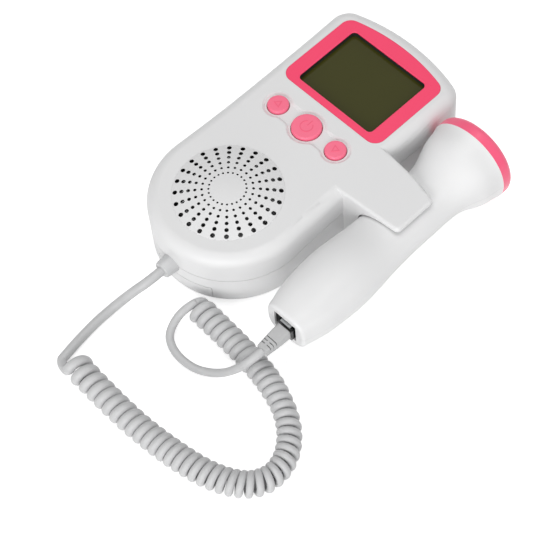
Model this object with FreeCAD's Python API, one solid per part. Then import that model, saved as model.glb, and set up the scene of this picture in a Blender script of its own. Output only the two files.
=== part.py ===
import FreeCAD, Part

import math
import os

from FreeCAD import Vector

# Fetal doppler monitor: a hand-sized base unit with a loudspeaker, a display and three keys, and a
# hand-held ultrasound probe that lies in a holder on its right side and plugs into a curly cord.
# Millimetres.  +Z up, +Y towards the display, origin on the base plane under the loudspeaker's axis.

# ---- Fits ----------------------------------------------------------------------------------------
RUNNING_GAP = 0.3          # between pieces that move past each other
SEAT_GAP = 0.1             # between a piece and the pocket it is glued or clipped into
CLOSE_GAP = 0.04           # where a joint in the face is too tight to be seen

# ---- Case ----------------------------------------------------------------------------------------
CASE_HEIGHT = 30.0
SEAM_HEIGHT = 16.0         # joint between the front and the back shell
SEAM_GROOVE = 0.3          # width and depth of the line round the joint
WALL = 2.2
FACE_THICKNESS = 2.4
END_RADIUS = 33.9          # of the round lower end
END_CENTRE_Y = 1.4         # its centre is a little above the loudspeaker's axis
END_BLEND_ANGLE = 3.0      # degrees that the round end runs on before the waist begins
WAIST_Y = 41.0
SHOULDER_FLARE = 0.9       # how much wider than the waist the upper end is
TOP_Y = 105.5
TOP_CROWN_RADIUS = 91.4
CASE_CORNER = 9.2
FACE_EDGE_RADIUS = 5.1
BASE_EDGE_RADIUS = 3.5

# ---- Holder for the probe's neck -----------------------------------------------------------------
HOLDER_ROOT_X = 22.0       # inside the case wall
HOLDER_TIP_X = 61.0
JAW_TIP_X = 52.0           # the jaw under the neck is shorter than the arm over it
HOLDER_LOW_ROOT_Y = 30.2
HOLDER_LOW_TIP_Y = 33.2
HOLDER_HIGH_ROOT_Y = 57.9
HOLDER_HIGH_TIP_Y = 53.4
HOLDER_CROWN = 1.2         # bulge of the holder's upper edge
HOLDER_CORNER = 2.2
HOLDER_EDGE_RADIUS = 1.2
NECK_CLEARANCE = 0.45      # between the probe's neck and the holder
MOUTH_RISE = 0.5           # how much the channel opens towards its mouth

# ---- Loudspeaker and its grille ------------------------------------------------------------------
GRILLE_RADIUS = 22.6
GRILLE_DOME_RADIUS = 89.0
GRILLE_EDGE_RISE = 0.1     # the dome's edge stands this far above the face
GRILLE_THICKNESS = 0.9
GRILLE_SKIRT = 1.6
GRILLE_FLANGE = 1.4
FLANGE_THICKNESS = 0.9
RAY_COUNT = 24
RING_COUNT = 6
FIRST_RING_RADIUS = 7.58
LAST_RING_RADIUS = 21.12
FIRST_HOLE_DIAMETER = 0.9
LAST_HOLE_DIAMETER = 1.95
MESH_THICKNESS = 0.25
SPEAKER_RADIUS = 20.4
SPEAKER_RIM = 2.6
SPEAKER_RIM_THICKNESS = 1.2
CONE_DEPTH = 3.4
CONE_THICKNESS = 0.4
CONE_THROAT_RADIUS = 6.0
MAGNET_RADIUS = 11.0
MAGNET_HEIGHT = 3.0

# ---- Display -------------------------------------------------------------------------------------
BEZEL_HALF_WIDTH = 27.1
BEZEL_LOW_Y = 55.7
BEZEL_TOP_MARGIN = 6.1     # from the bezel to the case's upper end
BEZEL_CROWN_RADIUS = 91.0
BEZEL_CORNER = 5.0
BEZEL_THICKNESS = 1.0
BEZEL_EDGE_RADIUS = 0.3    # of the soft edge round the view
VIEW_HALF_WIDTH = 20.6
VIEW_LOW_Y = 59.1
VIEW_TOP_MARGIN = 7.2      # from the view to the bezel's upper edge
VIEW_CORNER = 2.0
WINDOW_MARGIN = 1.2        # thickness of the bezel's collar, which the clear window lies under
WINDOW_DEPTH = 2.5         # from the bezel's face down to the window
WINDOW_THICKNESS = 1.4
PANEL_THICKNESS = 2.2
BACKLIGHT_MARGIN = 2.0

# ---- Main board ----------------------------------------------------------------------------------
BOARD_THICKNESS = 1.6
BOARD_TOP = 21.1
BOARD_HALF_WIDTH = 28.0
BOARD_LOW_Y = 37.0
BOARD_TOP_MARGIN = 14.5    # from the board to the case's upper end
BOARD_CORNER = 3.0
BOARD_POST_X = 25.3
BOARD_POST_LOW_Y = 51.5
BOARD_POST_INSET = 3.5     # of the upper posts from the board's end
BOARD_POST_RADIUS = 2.3
CHIP_HEIGHT = 1.4
PROCESSOR_SIDE = 10.0
PROCESSOR_Y = 62.0
AMPLIFIER_WIDTH = 6.0
AMPLIFIER_LENGTH = 4.0
AMPLIFIER_X = 8.0
AMPLIFIER_Y = 46.0
CAPACITOR_RADIUS = 2.2
CAPACITOR_XS = (-12.0, -6.0)
CAPACITOR_INSET = 11.0     # from the board's upper end

# ---- Keys ----------------------------------------------------------------------------------------
KEY_ROW_Y = 43.7
KEY_SPACING = 16.4
POWER_KEY_RADIUS = 6.35
VOLUME_KEY_RADIUS = 4.5
KEY_RISE = 0.7             # above the face
KEY_EDGE_RADIUS = 0.7
KEY_FLANGE = 1.0
KEY_FLANGE_THICKNESS = 1.2
KEY_TRAVEL = 0.6
KEY_STEM_RADIUS = 2.0
RECESS_DEPTH = 0.7
RECESS_MARGIN = 2.1        # of the shallow recess round each key
RECESS_SLOPE = 1.1         # width of the slope from the face down to the recess's floor
RECESS_NECK_HALF = 4.9
RECESS_BLEND = 3.0
SWITCH_SIDE = 6.0
SWITCH_HEIGHT = 3.3
PLUNGER_RADIUS = 1.5

# ---- Batteries -----------------------------------------------------------------------------------
CELL_RADIUS = 7.1
CELL_LENGTH = 50.5
CELL_NUB_RADIUS = 2.7
CELL_NUB_LENGTH = 1.0
CELL_GAP = 0.5
BAY_MARGIN = 1.5           # from the cells to the bay's side walls
BAY_HIGH_Y = 27.4
BAY_WALL = 1.2
BAY_ROOF_THICKNESS = 0.8
PLATE_THICKNESS = 0.4
SPRING_LENGTH = 1.9
SPRING_RADIUS = 3.0
SPRING_WIRE = 0.45
SPRING_TURNS = 2
DOOR_THICKNESS = 1.6
DOOR_HALF_WIDTH = 17.35    # the door laps over the bay's side walls
DOOR_WALL_HEIGHT = 9.4     # of the door's part in the round end wall
DOOR_PIN_RADIUS = 0.5      # of the pins at both ends of the door's round hinge edge
DOOR_PIN_LENGTH = 1.0
GRIP_COUNT = 3
GRIP_PITCH = 2.4
GRIP_WIDTH = 16.0
GRIP_RADIUS = 0.6

# ---- Screws --------------------------------------------------------------------------------------
CASE_SCREW_TOP_X = 27.0
CASE_SCREW_TOP_MARGIN = 10.7   # from the upper screws to the case's upper end
CASE_SCREW_LOW_X = 25.6
CASE_SCREW_LOW_Y = 14.0
SCREW_SHAFT_RADIUS = 1.3
SCREW_HEAD_RADIUS = 2.4
SCREW_HEAD_HEIGHT = 1.8
SCREW_HOLE_GAP = 0.05
CASE_BOSS_RADIUS = 3.4
CASE_SCREW_SEAT = 9.0      # height of the screw heads' seat above the base
CASE_SCREW_LENGTH = 14.0
BOARD_SCREW_RADIUS = 1.0
BOARD_SCREW_HEAD = 1.9
BOARD_SCREW_LENGTH = 5.5

# ---- Headphone socket ----------------------------------------------------------------------------
PHONE_BORE_RADIUS = 1.78
PHONE_BORE_LENGTH = 12.0
PHONE_BARREL_RADIUS = 2.9
PHONE_HEIGHT = 12.0
PHONE_BODY_WIDTH = 7.0
PHONE_BODY_HEIGHT = 6.4

# ---- Probe ---------------------------------------------------------------------------------------
PROBE_X = 54.2
PROBE_Z = 19.5
PROBE_YAW = 0.9            # degrees that the probe lies askew in its holder
PROBE_PIVOT_Y = 45.0
PROBE_WALL = 1.9
PROBE_END_RADIUS = 1.5
HEAD_RADIUS = 18.8
HEAD_Y = 81.9
# Sections of the handle, neck and head: place along the probe, half width, half height, squareness
PROBE_SECTIONS = [
    (-23.2, 9.9, 8.8, 3.2),
    (-19.0, 10.9, 9.2, 3.0),
    (-12.5, 12.6, 9.8, 2.8),
    (-4.0, 13.8, 10.4, 2.5),
    (6.0, 14.5, 10.6, 2.3),
    (15.0, 14.2, 9.9, 2.1),
    (26.0, 13.4, 8.1, 2.0),
    (36.0, 13.0, 7.7, 2.0),
    (50.0, 13.0, 7.7, 2.0),
    (57.5, 13.1, 7.9, 2.0),
    (HEAD_Y - 19.4, HEAD_RADIUS - 5.3, HEAD_RADIUS - 9.1, 2.0),
    (HEAD_Y - 13.9, HEAD_RADIUS - 3.8, HEAD_RADIUS - 5.7, 2.0),
    (HEAD_Y - 6.9, HEAD_RADIUS - 1.4, HEAD_RADIUS - 2.0, 2.0),
    (HEAD_Y, HEAD_RADIUS, HEAD_RADIUS, 2.0),
]
SECTION_POINTS = 24
CAP_LENGTH = 6.0
CAP_EDGE_RADIUS = 2.8
CAP_LIP = 2.6
CAP_LIP_TAPER = 1.15
CAP_LIP_GAP = 0.15
ACOUSTIC_MARGIN = 4.0      # from the window to the rim's outside
ACOUSTIC_THICKNESS = 2.6
ACOUSTIC_SHELF = 1.5       # of the cap, that the window rests on
CRYSTAL_MARGIN = 4.0       # from the crystals to the window's edge
CRYSTAL_THICKNESS = 2.0
CRYSTAL_SPLIT = 1.0
BACKING_THICKNESS = 4.0
PROBE_BOARD_START = -4.0
PROBE_BOARD_LENGTH = 50.0
PROBE_BOARD_HALF_WIDTH = 8.0
PROBE_SCREW_YS = (13.0, 64.0)
PROBE_BOSS_RADIUS = 2.9
PROBE_SCREW_SEAT = 4.5     # below the probe's middle plane
PROBE_SCREW_LENGTH = 8.0

# ---- Plug and its socket -------------------------------------------------------------------------
SOCKET_HALF_WIDTH = 5.7
SOCKET_HALF_HEIGHT = 5.1
SOCKET_RISE = 0.5          # above the probe's middle plane
PLUG_OFFSET = 1.2          # of the plug from the middle of the opening
PLUG_RISE = 0.3
JACK_WALL = 0.35           # how much wider than the opening the jack is
JACK_LENGTH = 15.0
JACK_INSET = 0.8           # from the probe's end to the jack's nose, which fills the opening
PLUG_HALF_WIDTH = 3.83
PLUG_HALF_HEIGHT = 3.0
PLUG_LENGTH = 11.5
PLUG_DEPTH = 8.0           # how far it stands in the jack
PLUG_GAP = 0.15
LATCH_HALF_WIDTH = 2.5
LATCH_THICKNESS = 0.7
LATCH_RISE = 1.0
LATCH_NOSE = 1.2           # the latch springs from this length behind the plug's nose
LATCH_SETBACK = 0.6        # from the plug's tail to the latch's free end
CONTACT_COUNT = 4
CONTACT_PITCH = 1.02
CONTACT_WIDTH = 0.4
CONTACT_LENGTH = 3.5
CONTACT_TOP = 1.2          # below the plug's axis
CONTACT_SUNK = 0.2         # in the plug's underside
BOOT_LENGTH = 12.1
BOOT_HALF_WIDTH = 3.3
BOOT_HALF_HEIGHT = 2.7
BOOT_SHOULDER = 8.0        # from the tail, where the full width ends
BOOT_SHOULDER_HALF_WIDTH = 3.15
BOOT_SHOULDER_HALF_HEIGHT = 2.65
BOOT_CORNER = 1.1
BOOT_TAIL_RADIUS = 2.45
BOOT_SLOT_COUNT = 3
BOOT_SLOT_START = 2.0      # from the tail to the first slot
BOOT_SLOT_PITCH = 1.5
BOOT_SLOT_WIDTH = 0.4
BOOT_SLOT_DEPTH = 0.7
BOOT_SPINE = 1.4           # width of the web that is left between the slots
BRIDGED_SLOT_COUNT = 2     # the slots nearest the tail are broken at the middle of the top
BOOT_BRIDGE = 1.1

# ---- Cord ----------------------------------------------------------------------------------------
CORD_DIAMETER = 3.7
COIL_DIAMETER = 11.2
GLAND_HEIGHT = 15.1
GLAND_LENGTH = 5.4
GLAND_WALL_RADIUS = 4.25
GLAND_TIP_RADIUS = 3.65
GLAND_TIP_EDGE = 0.6
GLAND_NECK_RADIUS = 3.3
GLAND_FLANGE_RADIUS = 4.7
GLAND_FLANGE_THICKNESS = 1.2
GLAND_SADDLE = 0.5         # both ends are hollowed to the round wall within this depth

BOOT_EXIT_RUN = 5.0        # the lead leaves the plug's boot straight over this length

# The plain lead after the gland, down to the table and round into the coil
LEAD_BASE_ROUTE = [
    (0.0, -44.6, GLAND_HEIGHT),
    (-3.5, -50.75, 10.2),
    (-7.1, -56.2, 3.9),
    (-8.2, -62.6, 1.9),
    (-7.6, -71.5, 1.9),
    (-6.3, -81.0, 1.9),
    (-5.3, -86.4, 1.9),
    (-4.8, -89.6, 1.9),
    (-1.6, -90.6, 2.2),
    (0.2, -90.4, 3.9),
]
# Centre line of the curly part
COIL_ROUTE = [
    (-2.2, -87.0, 5.65),
    (29.0, -88.8, 5.65),
    (58.0, -86.7, 5.65),
    (78.9, -82.0, 5.65),
    (91.4, -72.6, 5.65),
    (91.6, -58.8, 5.65),
    (81.1, -46.2, 5.65),
    (63.5, -39.2, 5.65),
    (41.8, -36.7, 5.65),
    (17.0, -36.2, 5.65),
]
# The plain lead from the coil, round on the table and over the coil to the plug
LEAD_PROBE_ROUTE = [
    (17.8, -33.6, 8.4),
    (16.9, -36.6, 9.8),
    (16.3, -40.4, 8.4),
    (15.4, -45.2, 5.6),
    (16.9, -51.0, 2.7),
    (21.2, -54.1, 1.9),
    (28.2, -55.6, 1.9),
    (36.8, -54.5, 1.9),
    (45.3, -50.2, 4.2),
    (52.3, -46.7, 12.4),
]


# ---- Plain shapes --------------------------------------------------------------------------------

def box(x0, x1, y0, y1, z0, z1):
    return Part.makeBox(x1 - x0, y1 - y0, z1 - z0, Vector(x0, y0, z0))


def post(radius, x, y, z0, z1):
    return Part.makeCylinder(radius, z1 - z0, Vector(x, y, z0))


def rod(radius, x, z, y0, y1):
    return Part.makeCylinder(radius, y1 - y0, Vector(x, y0, z), Vector(0, 1, 0))


def fused(shapes):
    first, *rest = shapes
    return first.multiFuse(rest).removeSplitter() if rest else first


def face_of(edges):
    return Part.Face(Part.Wire(edges))


def rounded(face, radius):
    """Rounds the outward corners of a flat face."""
    return face.makeOffset2D(-radius).makeOffset2D(radius)


def rectangle(x0, x1, y0, y1):
    return Part.makePlane(x1 - x0, y1 - y0, Vector(x0, y0, 0))


def prism(face, z0, z1):
    lifted = face.copy()
    lifted.translate(Vector(0, 0, z0))
    return lifted.extrude(Vector(0, 0, z1 - z0))


def level_edges(shape, z):
    return [e for e in shape.Edges
            if abs(e.BoundBox.ZMin - z) < 1e-4 and abs(e.BoundBox.ZMax - z) < 1e-4]


def turned(profile, x=0.0, y=0.0):
    """Turns a closed profile of (radius, height) points about a vertical axis."""
    points = [Vector(r, 0, z) for r, z in profile]
    solid = Part.Face(Part.makePolygon(points + points[:1])).revolve(Vector(), Vector(0, 0, 1), 360)
    solid.translate(Vector(x, y, 0))
    return solid


def mirrored_pair(x, y):
    return [(x, y), (-x, y)]


def arc(a, b, c):
    return Part.Arc(Vector(*a, 0), Vector(*b, 0), Vector(*c, 0)).toShape()


def line(a, b):
    return Part.LineSegment(Vector(*a, 0), Vector(*b, 0)).toShape()


# ---- Derived places ------------------------------------------------------------------------------

BLEND = math.radians(END_BLEND_ANGLE)
END_Y = END_CENTRE_Y - END_RADIUS
WAIST_RADIUS = (WAIST_Y - END_CENTRE_Y) / math.sin(BLEND) - END_RADIUS
WAIST_HALF = END_RADIUS * math.cos(BLEND) - WAIST_RADIUS * (1 - math.cos(BLEND))
SHOULDER_HALF = WAIST_HALF + SHOULDER_FLARE
SHOULDER_Y = TOP_Y - TOP_CROWN_RADIUS + math.sqrt(TOP_CROWN_RADIUS ** 2 - SHOULDER_HALF ** 2)
FACE_INSIDE = CASE_HEIGHT - FACE_THICKNESS
BEZEL_TOP_Y = TOP_Y - BEZEL_TOP_MARGIN
VIEW_HIGH_Y = BEZEL_TOP_Y - VIEW_TOP_MARGIN
BOARD_HIGH_Y = TOP_Y - BOARD_TOP_MARGIN
BOARD_POST_HIGH_Y = BOARD_HIGH_Y - BOARD_POST_INSET
BEZEL_BACK = CASE_HEIGHT - BEZEL_THICKNESS
WINDOW_TOP = CASE_HEIGHT - WINDOW_DEPTH
PANEL_TOP = WINDOW_TOP - WINDOW_THICKNESS
PANEL_BOTTOM = PANEL_TOP - PANEL_THICKNESS
BOARD_BOTTOM = BOARD_TOP - BOARD_THICKNESS
RECESS_FLOOR = CASE_HEIGHT - RECESS_DEPTH
KEY_FLANGE_TOP = FACE_INSIDE - RUNNING_GAP
KEY_FLANGE_BOTTOM = KEY_FLANGE_TOP - KEY_FLANGE_THICKNESS
SWITCH_TOP = BOARD_TOP + SWITCH_HEIGHT
PLUNGER_TOP = SWITCH_TOP + KEY_TRAVEL + 2 * RUNNING_GAP
KEYS = {
    "volume_down": (-KEY_SPACING, VOLUME_KEY_RADIUS),
    "power": (0.0, POWER_KEY_RADIUS),
    "volume_up": (KEY_SPACING, VOLUME_KEY_RADIUS),
}
CELL_X = CELL_RADIUS + CELL_GAP / 2
BAY_HALF_WIDTH = CELL_X + CELL_RADIUS + BAY_MARGIN
BAY_LOW_Y = BAY_HIGH_Y - 2 * PLATE_THICKNESS - SPRING_LENGTH - CELL_LENGTH
CELL_Z = DOOR_THICKNESS + RUNNING_GAP + SEAT_GAP + CELL_RADIUS
BAY_ROOF = CELL_Z + CELL_RADIUS + RUNNING_GAP
DOOR_ROOM_HALF = DOOR_HALF_WIDTH + RUNNING_GAP
HINGE_RADIUS = WALL / 2
HINGE_Y = BAY_HIGH_Y + BAY_WALL - HINGE_RADIUS
CASE_SCREWS = (mirrored_pair(CASE_SCREW_TOP_X, TOP_Y - CASE_SCREW_TOP_MARGIN)
               + mirrored_pair(CASE_SCREW_LOW_X, CASE_SCREW_LOW_Y))
BOARD_POSTS = mirrored_pair(BOARD_POST_X, BOARD_POST_LOW_Y) + mirrored_pair(BOARD_POST_X, BOARD_POST_HIGH_Y)
NECK_HALF_WIDTH = max(w for y, w, h, n in PROBE_SECTIONS if HOLDER_LOW_ROOT_Y - 1 < y < HOLDER_HIGH_ROOT_Y)
NECK_HALF_HEIGHT = max(h for y, w, h, n in PROBE_SECTIONS if HOLDER_LOW_ROOT_Y - 1 < y < HOLDER_HIGH_ROOT_Y)
CHANNEL_HALF_WIDTH = NECK_HALF_WIDTH + NECK_CLEARANCE
CHANNEL_HALF_HEIGHT = NECK_HALF_HEIGHT + NECK_CLEARANCE
GLAND_TIP_Y = END_Y - GLAND_LENGTH
ACOUSTIC_RADIUS = HEAD_RADIUS - ACOUSTIC_MARGIN
PROBE_END_Y = PROBE_SECTIONS[0][0]
JACK_FRONT_Y = PROBE_END_Y + PROBE_WALL
PLUG_TAIL_Y = JACK_FRONT_Y + PLUG_DEPTH - PLUG_LENGTH
BOOT_TAIL_Y = PLUG_TAIL_Y - BOOT_LENGTH
PLUG_X = PROBE_X + PLUG_OFFSET
PLUG_Z = PROBE_Z + PLUG_RISE
SOCKET_Z = PROBE_Z + SOCKET_RISE


# ---- Case outline and shells ---------------------------------------------------------------------

def case_outline():
    """Plan of the case: round lower end, waisted sides, crowned upper end."""
    low = (END_RADIUS * math.cos(BLEND), END_CENTRE_Y + END_RADIUS * math.sin(BLEND))
    waist = (WAIST_HALF, WAIST_Y)
    shoulder = (SHOULDER_HALF, SHOULDER_Y)
    low_mid = (WAIST_HALF + WAIST_RADIUS * (1 - math.cos(BLEND / 2)),
               WAIST_Y - WAIST_RADIUS * math.sin(BLEND / 2))
    rise = SHOULDER_Y - WAIST_Y
    flare_radius = (rise ** 2 + SHOULDER_FLARE ** 2) / (2 * SHOULDER_FLARE)
    half_turn = math.asin(rise / flare_radius) / 2
    high_mid = (WAIST_HALF + flare_radius * (1 - math.cos(half_turn)),
                WAIST_Y + flare_radius * math.sin(half_turn))

    def left(p):
        return (-p[0], p[1])

    edges = [
        arc(left(low), (0, END_Y), low),
        arc(low, low_mid, waist),
        arc(waist, high_mid, shoulder),
        arc(shoulder, (0, TOP_Y), left(shoulder)),
        arc(left(shoulder), left(high_mid), left(waist)),
        arc(left(waist), left(low_mid), left(low)),
    ]
    return rounded(face_of(edges), CASE_CORNER)


def holder_outline(tip_x):
    """Plan of the holder, cut off at tip_x: straight lower edge, crowned upper edge."""
    share = (tip_x - HOLDER_ROOT_X) / (HOLDER_TIP_X - HOLDER_ROOT_X)
    low_y = HOLDER_LOW_ROOT_Y + share * (HOLDER_LOW_TIP_Y - HOLDER_LOW_ROOT_Y)
    high_y = HOLDER_HIGH_ROOT_Y + share * (HOLDER_HIGH_TIP_Y - HOLDER_HIGH_ROOT_Y)
    middle = ((HOLDER_ROOT_X + tip_x) / 2, (HOLDER_HIGH_ROOT_Y + high_y) / 2 + HOLDER_CROWN * share)
    edges = [
        line((HOLDER_ROOT_X, HOLDER_LOW_ROOT_Y), (tip_x, low_y)),
        line((tip_x, low_y), (tip_x, high_y)),
        arc((tip_x, high_y), middle, (HOLDER_ROOT_X, HOLDER_HIGH_ROOT_Y)),
        line((HOLDER_ROOT_X, HOLDER_HIGH_ROOT_Y), (HOLDER_ROOT_X, HOLDER_LOW_ROOT_Y)),
    ]
    return rounded(face_of(edges), HOLDER_CORNER)


def neck_channel():
    """The room for the probe's neck: a half ellipse that opens towards +X."""
    low = PROBE_Z - CHANNEL_HALF_HEIGHT
    high = PROBE_Z + CHANNEL_HALF_HEIGHT
    mouth_x = HOLDER_TIP_X + WALL
    centre = Vector(PROBE_X, 0, PROBE_Z)
    ellipse = Part.Ellipse(centre + Vector(-CHANNEL_HALF_WIDTH, 0, 0),
                           centre + Vector(0, 0, CHANNEL_HALF_HEIGHT), centre)
    side = Part.Arc(ellipse, -math.pi / 2, math.pi / 2).toShape()
    ends = sorted((v.Point for v in side.Vertexes), key=lambda p: p.z)
    corners = [ends[1], Vector(mouth_x, 0, high + MOUTH_RISE), Vector(mouth_x, 0, low), ends[0]]
    edges = [side] + [Part.LineSegment(a, b).toShape() for a, b in zip(corners, corners[1:])]
    room = face_of(edges)
    room.translate(Vector(0, HOLDER_LOW_ROOT_Y - WALL, 0))
    return room.extrude(Vector(0, HOLDER_HIGH_ROOT_Y - HOLDER_LOW_ROOT_Y + 2 * WALL, 0))


def case_body():
    body = prism(case_outline(), 0, CASE_HEIGHT)
    body = body.makeFillet(FACE_EDGE_RADIUS, level_edges(body, CASE_HEIGHT))
    return body.makeFillet(BASE_EDGE_RADIUS, level_edges(body, 0))


def case_cavity():
    room = prism(case_outline().makeOffset2D(-WALL), WALL, FACE_INSIDE)
    room = room.makeFillet(FACE_EDGE_RADIUS - WALL, level_edges(room, FACE_INSIDE))
    room = room.makeFillet(BASE_EDGE_RADIUS - WALL, level_edges(room, WALL))
    channel_wall_x = PROBE_X - CHANNEL_HALF_WIDTH - WALL
    low_y = max(HOLDER_LOW_ROOT_Y, HOLDER_LOW_TIP_Y) + WALL
    high_y = HOLDER_HIGH_TIP_Y - WALL
    root = box(HOLDER_ROOT_X, channel_wall_x, low_y, high_y, WALL, FACE_INSIDE)
    jaw = box(HOLDER_ROOT_X, JAW_TIP_X - WALL, low_y, high_y,
              WALL, PROBE_Z - CHANNEL_HALF_HEIGHT - WALL)
    return fused([room, root, jaw])


def seam_groove():
    """The fine line round the case where its two shells meet."""
    low = SEAM_HEIGHT - SEAM_GROOVE / 2
    high = SEAM_HEIGHT + SEAM_GROOVE / 2
    outline = case_outline()
    ring = prism(outline, low, high).cut(prism(outline.makeOffset2D(-SEAM_GROOVE), low, high))
    return ring.cut(prism(holder_outline(HOLDER_TIP_X), low, high))


def display_view():
    return rounded(rectangle(-VIEW_HALF_WIDTH, VIEW_HALF_WIDTH, VIEW_LOW_Y, VIEW_HIGH_Y), VIEW_CORNER)


def bezel_outline():
    shoulder = BEZEL_TOP_Y - BEZEL_CROWN_RADIUS
    shoulder += math.sqrt(BEZEL_CROWN_RADIUS ** 2 - BEZEL_HALF_WIDTH ** 2)
    edges = [
        line((-BEZEL_HALF_WIDTH, BEZEL_LOW_Y), (BEZEL_HALF_WIDTH, BEZEL_LOW_Y)),
        line((BEZEL_HALF_WIDTH, BEZEL_LOW_Y), (BEZEL_HALF_WIDTH, shoulder)),
        arc((BEZEL_HALF_WIDTH, shoulder), (0, BEZEL_TOP_Y), (-BEZEL_HALF_WIDTH, shoulder)),
        line((-BEZEL_HALF_WIDTH, shoulder), (-BEZEL_HALF_WIDTH, BEZEL_LOW_Y)),
    ]
    return rounded(face_of(edges), BEZEL_CORNER)


def key_recess():
    """Three round lobes about the keys, joined by necks, with sloping sides."""
    lobes = [post(radius + RECESS_MARGIN, x, KEY_ROW_Y, RECESS_FLOOR, CASE_HEIGHT)
             for x, radius in KEYS.values()]
    neck = box(-KEY_SPACING, KEY_SPACING, KEY_ROW_Y - RECESS_NECK_HALF,
               KEY_ROW_Y + RECESS_NECK_HALF, RECESS_FLOOR, CASE_HEIGHT)
    plan = Part.Face(fused(lobes + [neck]).slice(Vector(0, 0, 1), (RECESS_FLOOR + CASE_HEIGHT) / 2)[0])
    plan.translate(Vector(0, 0, -(RECESS_FLOOR + CASE_HEIGHT) / 2))
    rim = plan.makeOffset2D(RECESS_BLEND).makeOffset2D(-RECESS_BLEND)
    floor = rim.makeOffset2D(-RECESS_SLOPE)
    rim.translate(Vector(0, 0, CASE_HEIGHT))
    floor.translate(Vector(0, 0, RECESS_FLOOR))
    return Part.makeLoft([floor.OuterWire, rim.OuterWire], True, True)


def front_case():
    arm = prism(holder_outline(HOLDER_TIP_X), SEAM_HEIGHT, CASE_HEIGHT)
    arm = arm.makeFillet(HOLDER_EDGE_RADIUS, level_edges(arm, CASE_HEIGHT))
    upper = box(-END_RADIUS, END_RADIUS, END_Y, TOP_Y, SEAM_HEIGHT, CASE_HEIGHT)
    shell = fused([case_body().common(upper), arm]).cut(case_cavity())
    window = prism(display_view().makeOffset2D(WINDOW_MARGIN + SEAT_GAP), FACE_INSIDE, CASE_HEIGHT)
    bezel_pocket = prism(bezel_outline().makeOffset2D(SEAT_GAP), BEZEL_BACK, CASE_HEIGHT)
    key_holes = [post(radius + RUNNING_GAP, x, KEY_ROW_Y, FACE_INSIDE, CASE_HEIGHT)
                 for x, radius in KEYS.values()]
    grille_hole = post(GRILLE_RADIUS + CLOSE_GAP, 0, 0, FACE_INSIDE, CASE_HEIGHT)
    cuts = [neck_channel(), seam_groove(), window, bezel_pocket, key_recess(), grille_hole,
            rod(GLAND_NECK_RADIUS, 0, GLAND_HEIGHT, END_Y - WALL, END_Y + WALL + GLAND_SADDLE)]
    shell = shell.cut(cuts + key_holes)
    bosses = [post(CASE_BOSS_RADIUS, x, y, SEAM_HEIGHT, FACE_INSIDE + SEAT_GAP) for x, y in CASE_SCREWS]
    bosses += [post(BOARD_POST_RADIUS, x, y, BOARD_TOP, FACE_INSIDE + SEAT_GAP) for x, y in BOARD_POSTS]
    pilot_top = CASE_SCREW_SEAT + CASE_SCREW_LENGTH + SEAT_GAP
    pilots = [post(SCREW_SHAFT_RADIUS + SCREW_HOLE_GAP, x, y, SEAM_HEIGHT, pilot_top)
              for x, y in CASE_SCREWS]
    board_pilot_top = BOARD_BOTTOM + BOARD_SCREW_LENGTH + SEAT_GAP
    pilots += [post(BOARD_SCREW_RADIUS + SCREW_HOLE_GAP, x, y, BOARD_TOP, board_pilot_top)
               for x, y in BOARD_POSTS]
    return fused([shell] + bosses).cut(pilots)


def battery_bay():
    """Walls and roof of the battery bay on the back shell's floor; the top stands in the front shell."""
    wall = BAY_WALL
    outside = box(-BAY_HALF_WIDTH - wall, BAY_HALF_WIDTH + wall, BAY_LOW_Y - wall, BAY_HIGH_Y + wall,
                  0, BAY_ROOF + BAY_ROOF_THICKNESS)
    room = fused([prism(case_outline(), 0, SEAM_HEIGHT),
                  prism(case_outline().makeOffset2D(-WALL - SEAT_GAP), SEAM_HEIGHT, CASE_HEIGHT)])
    return outside.common(room).common(case_body())


def bay_room():
    return box(-BAY_HALF_WIDTH, BAY_HALF_WIDTH, BAY_LOW_Y, BAY_HIGH_Y, -WALL, BAY_ROOF)


def hinge_rod(radius, half_length):
    """A cylinder about the battery door's hinge line."""
    return Part.makeCylinder(radius, 2 * half_length, Vector(-half_length, HINGE_Y, HINGE_RADIUS),
                             Vector(1, 0, 0))


def door_room():
    """What the battery door takes out of the back shell, with its running gap."""
    plate = box(-DOOR_ROOM_HALF, DOOR_ROOM_HALF, END_Y - WALL, HINGE_Y + HINGE_RADIUS + RUNNING_GAP,
                -WALL, DOOR_THICKNESS + RUNNING_GAP)
    edge = hinge_rod(HINGE_RADIUS + RUNNING_GAP, DOOR_ROOM_HALF)
    pins = hinge_rod(DOOR_PIN_RADIUS + SEAT_GAP, DOOR_HALF_WIDTH + DOOR_PIN_LENGTH + RUNNING_GAP)
    end_top = DOOR_WALL_HEIGHT + RUNNING_GAP
    outer = post(END_RADIUS + WALL, 0, END_CENTRE_Y, -WALL, end_top)
    inner = post(END_RADIUS - DOOR_THICKNESS - RUNNING_GAP, 0, END_CENTRE_Y, -WALL, end_top)
    end = outer.cut(inner).common(box(-DOOR_ROOM_HALF, DOOR_ROOM_HALF, END_Y - WALL, BAY_LOW_Y,
                                      -WALL, CASE_HEIGHT))
    return fused([plate, edge, pins, end])


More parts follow.
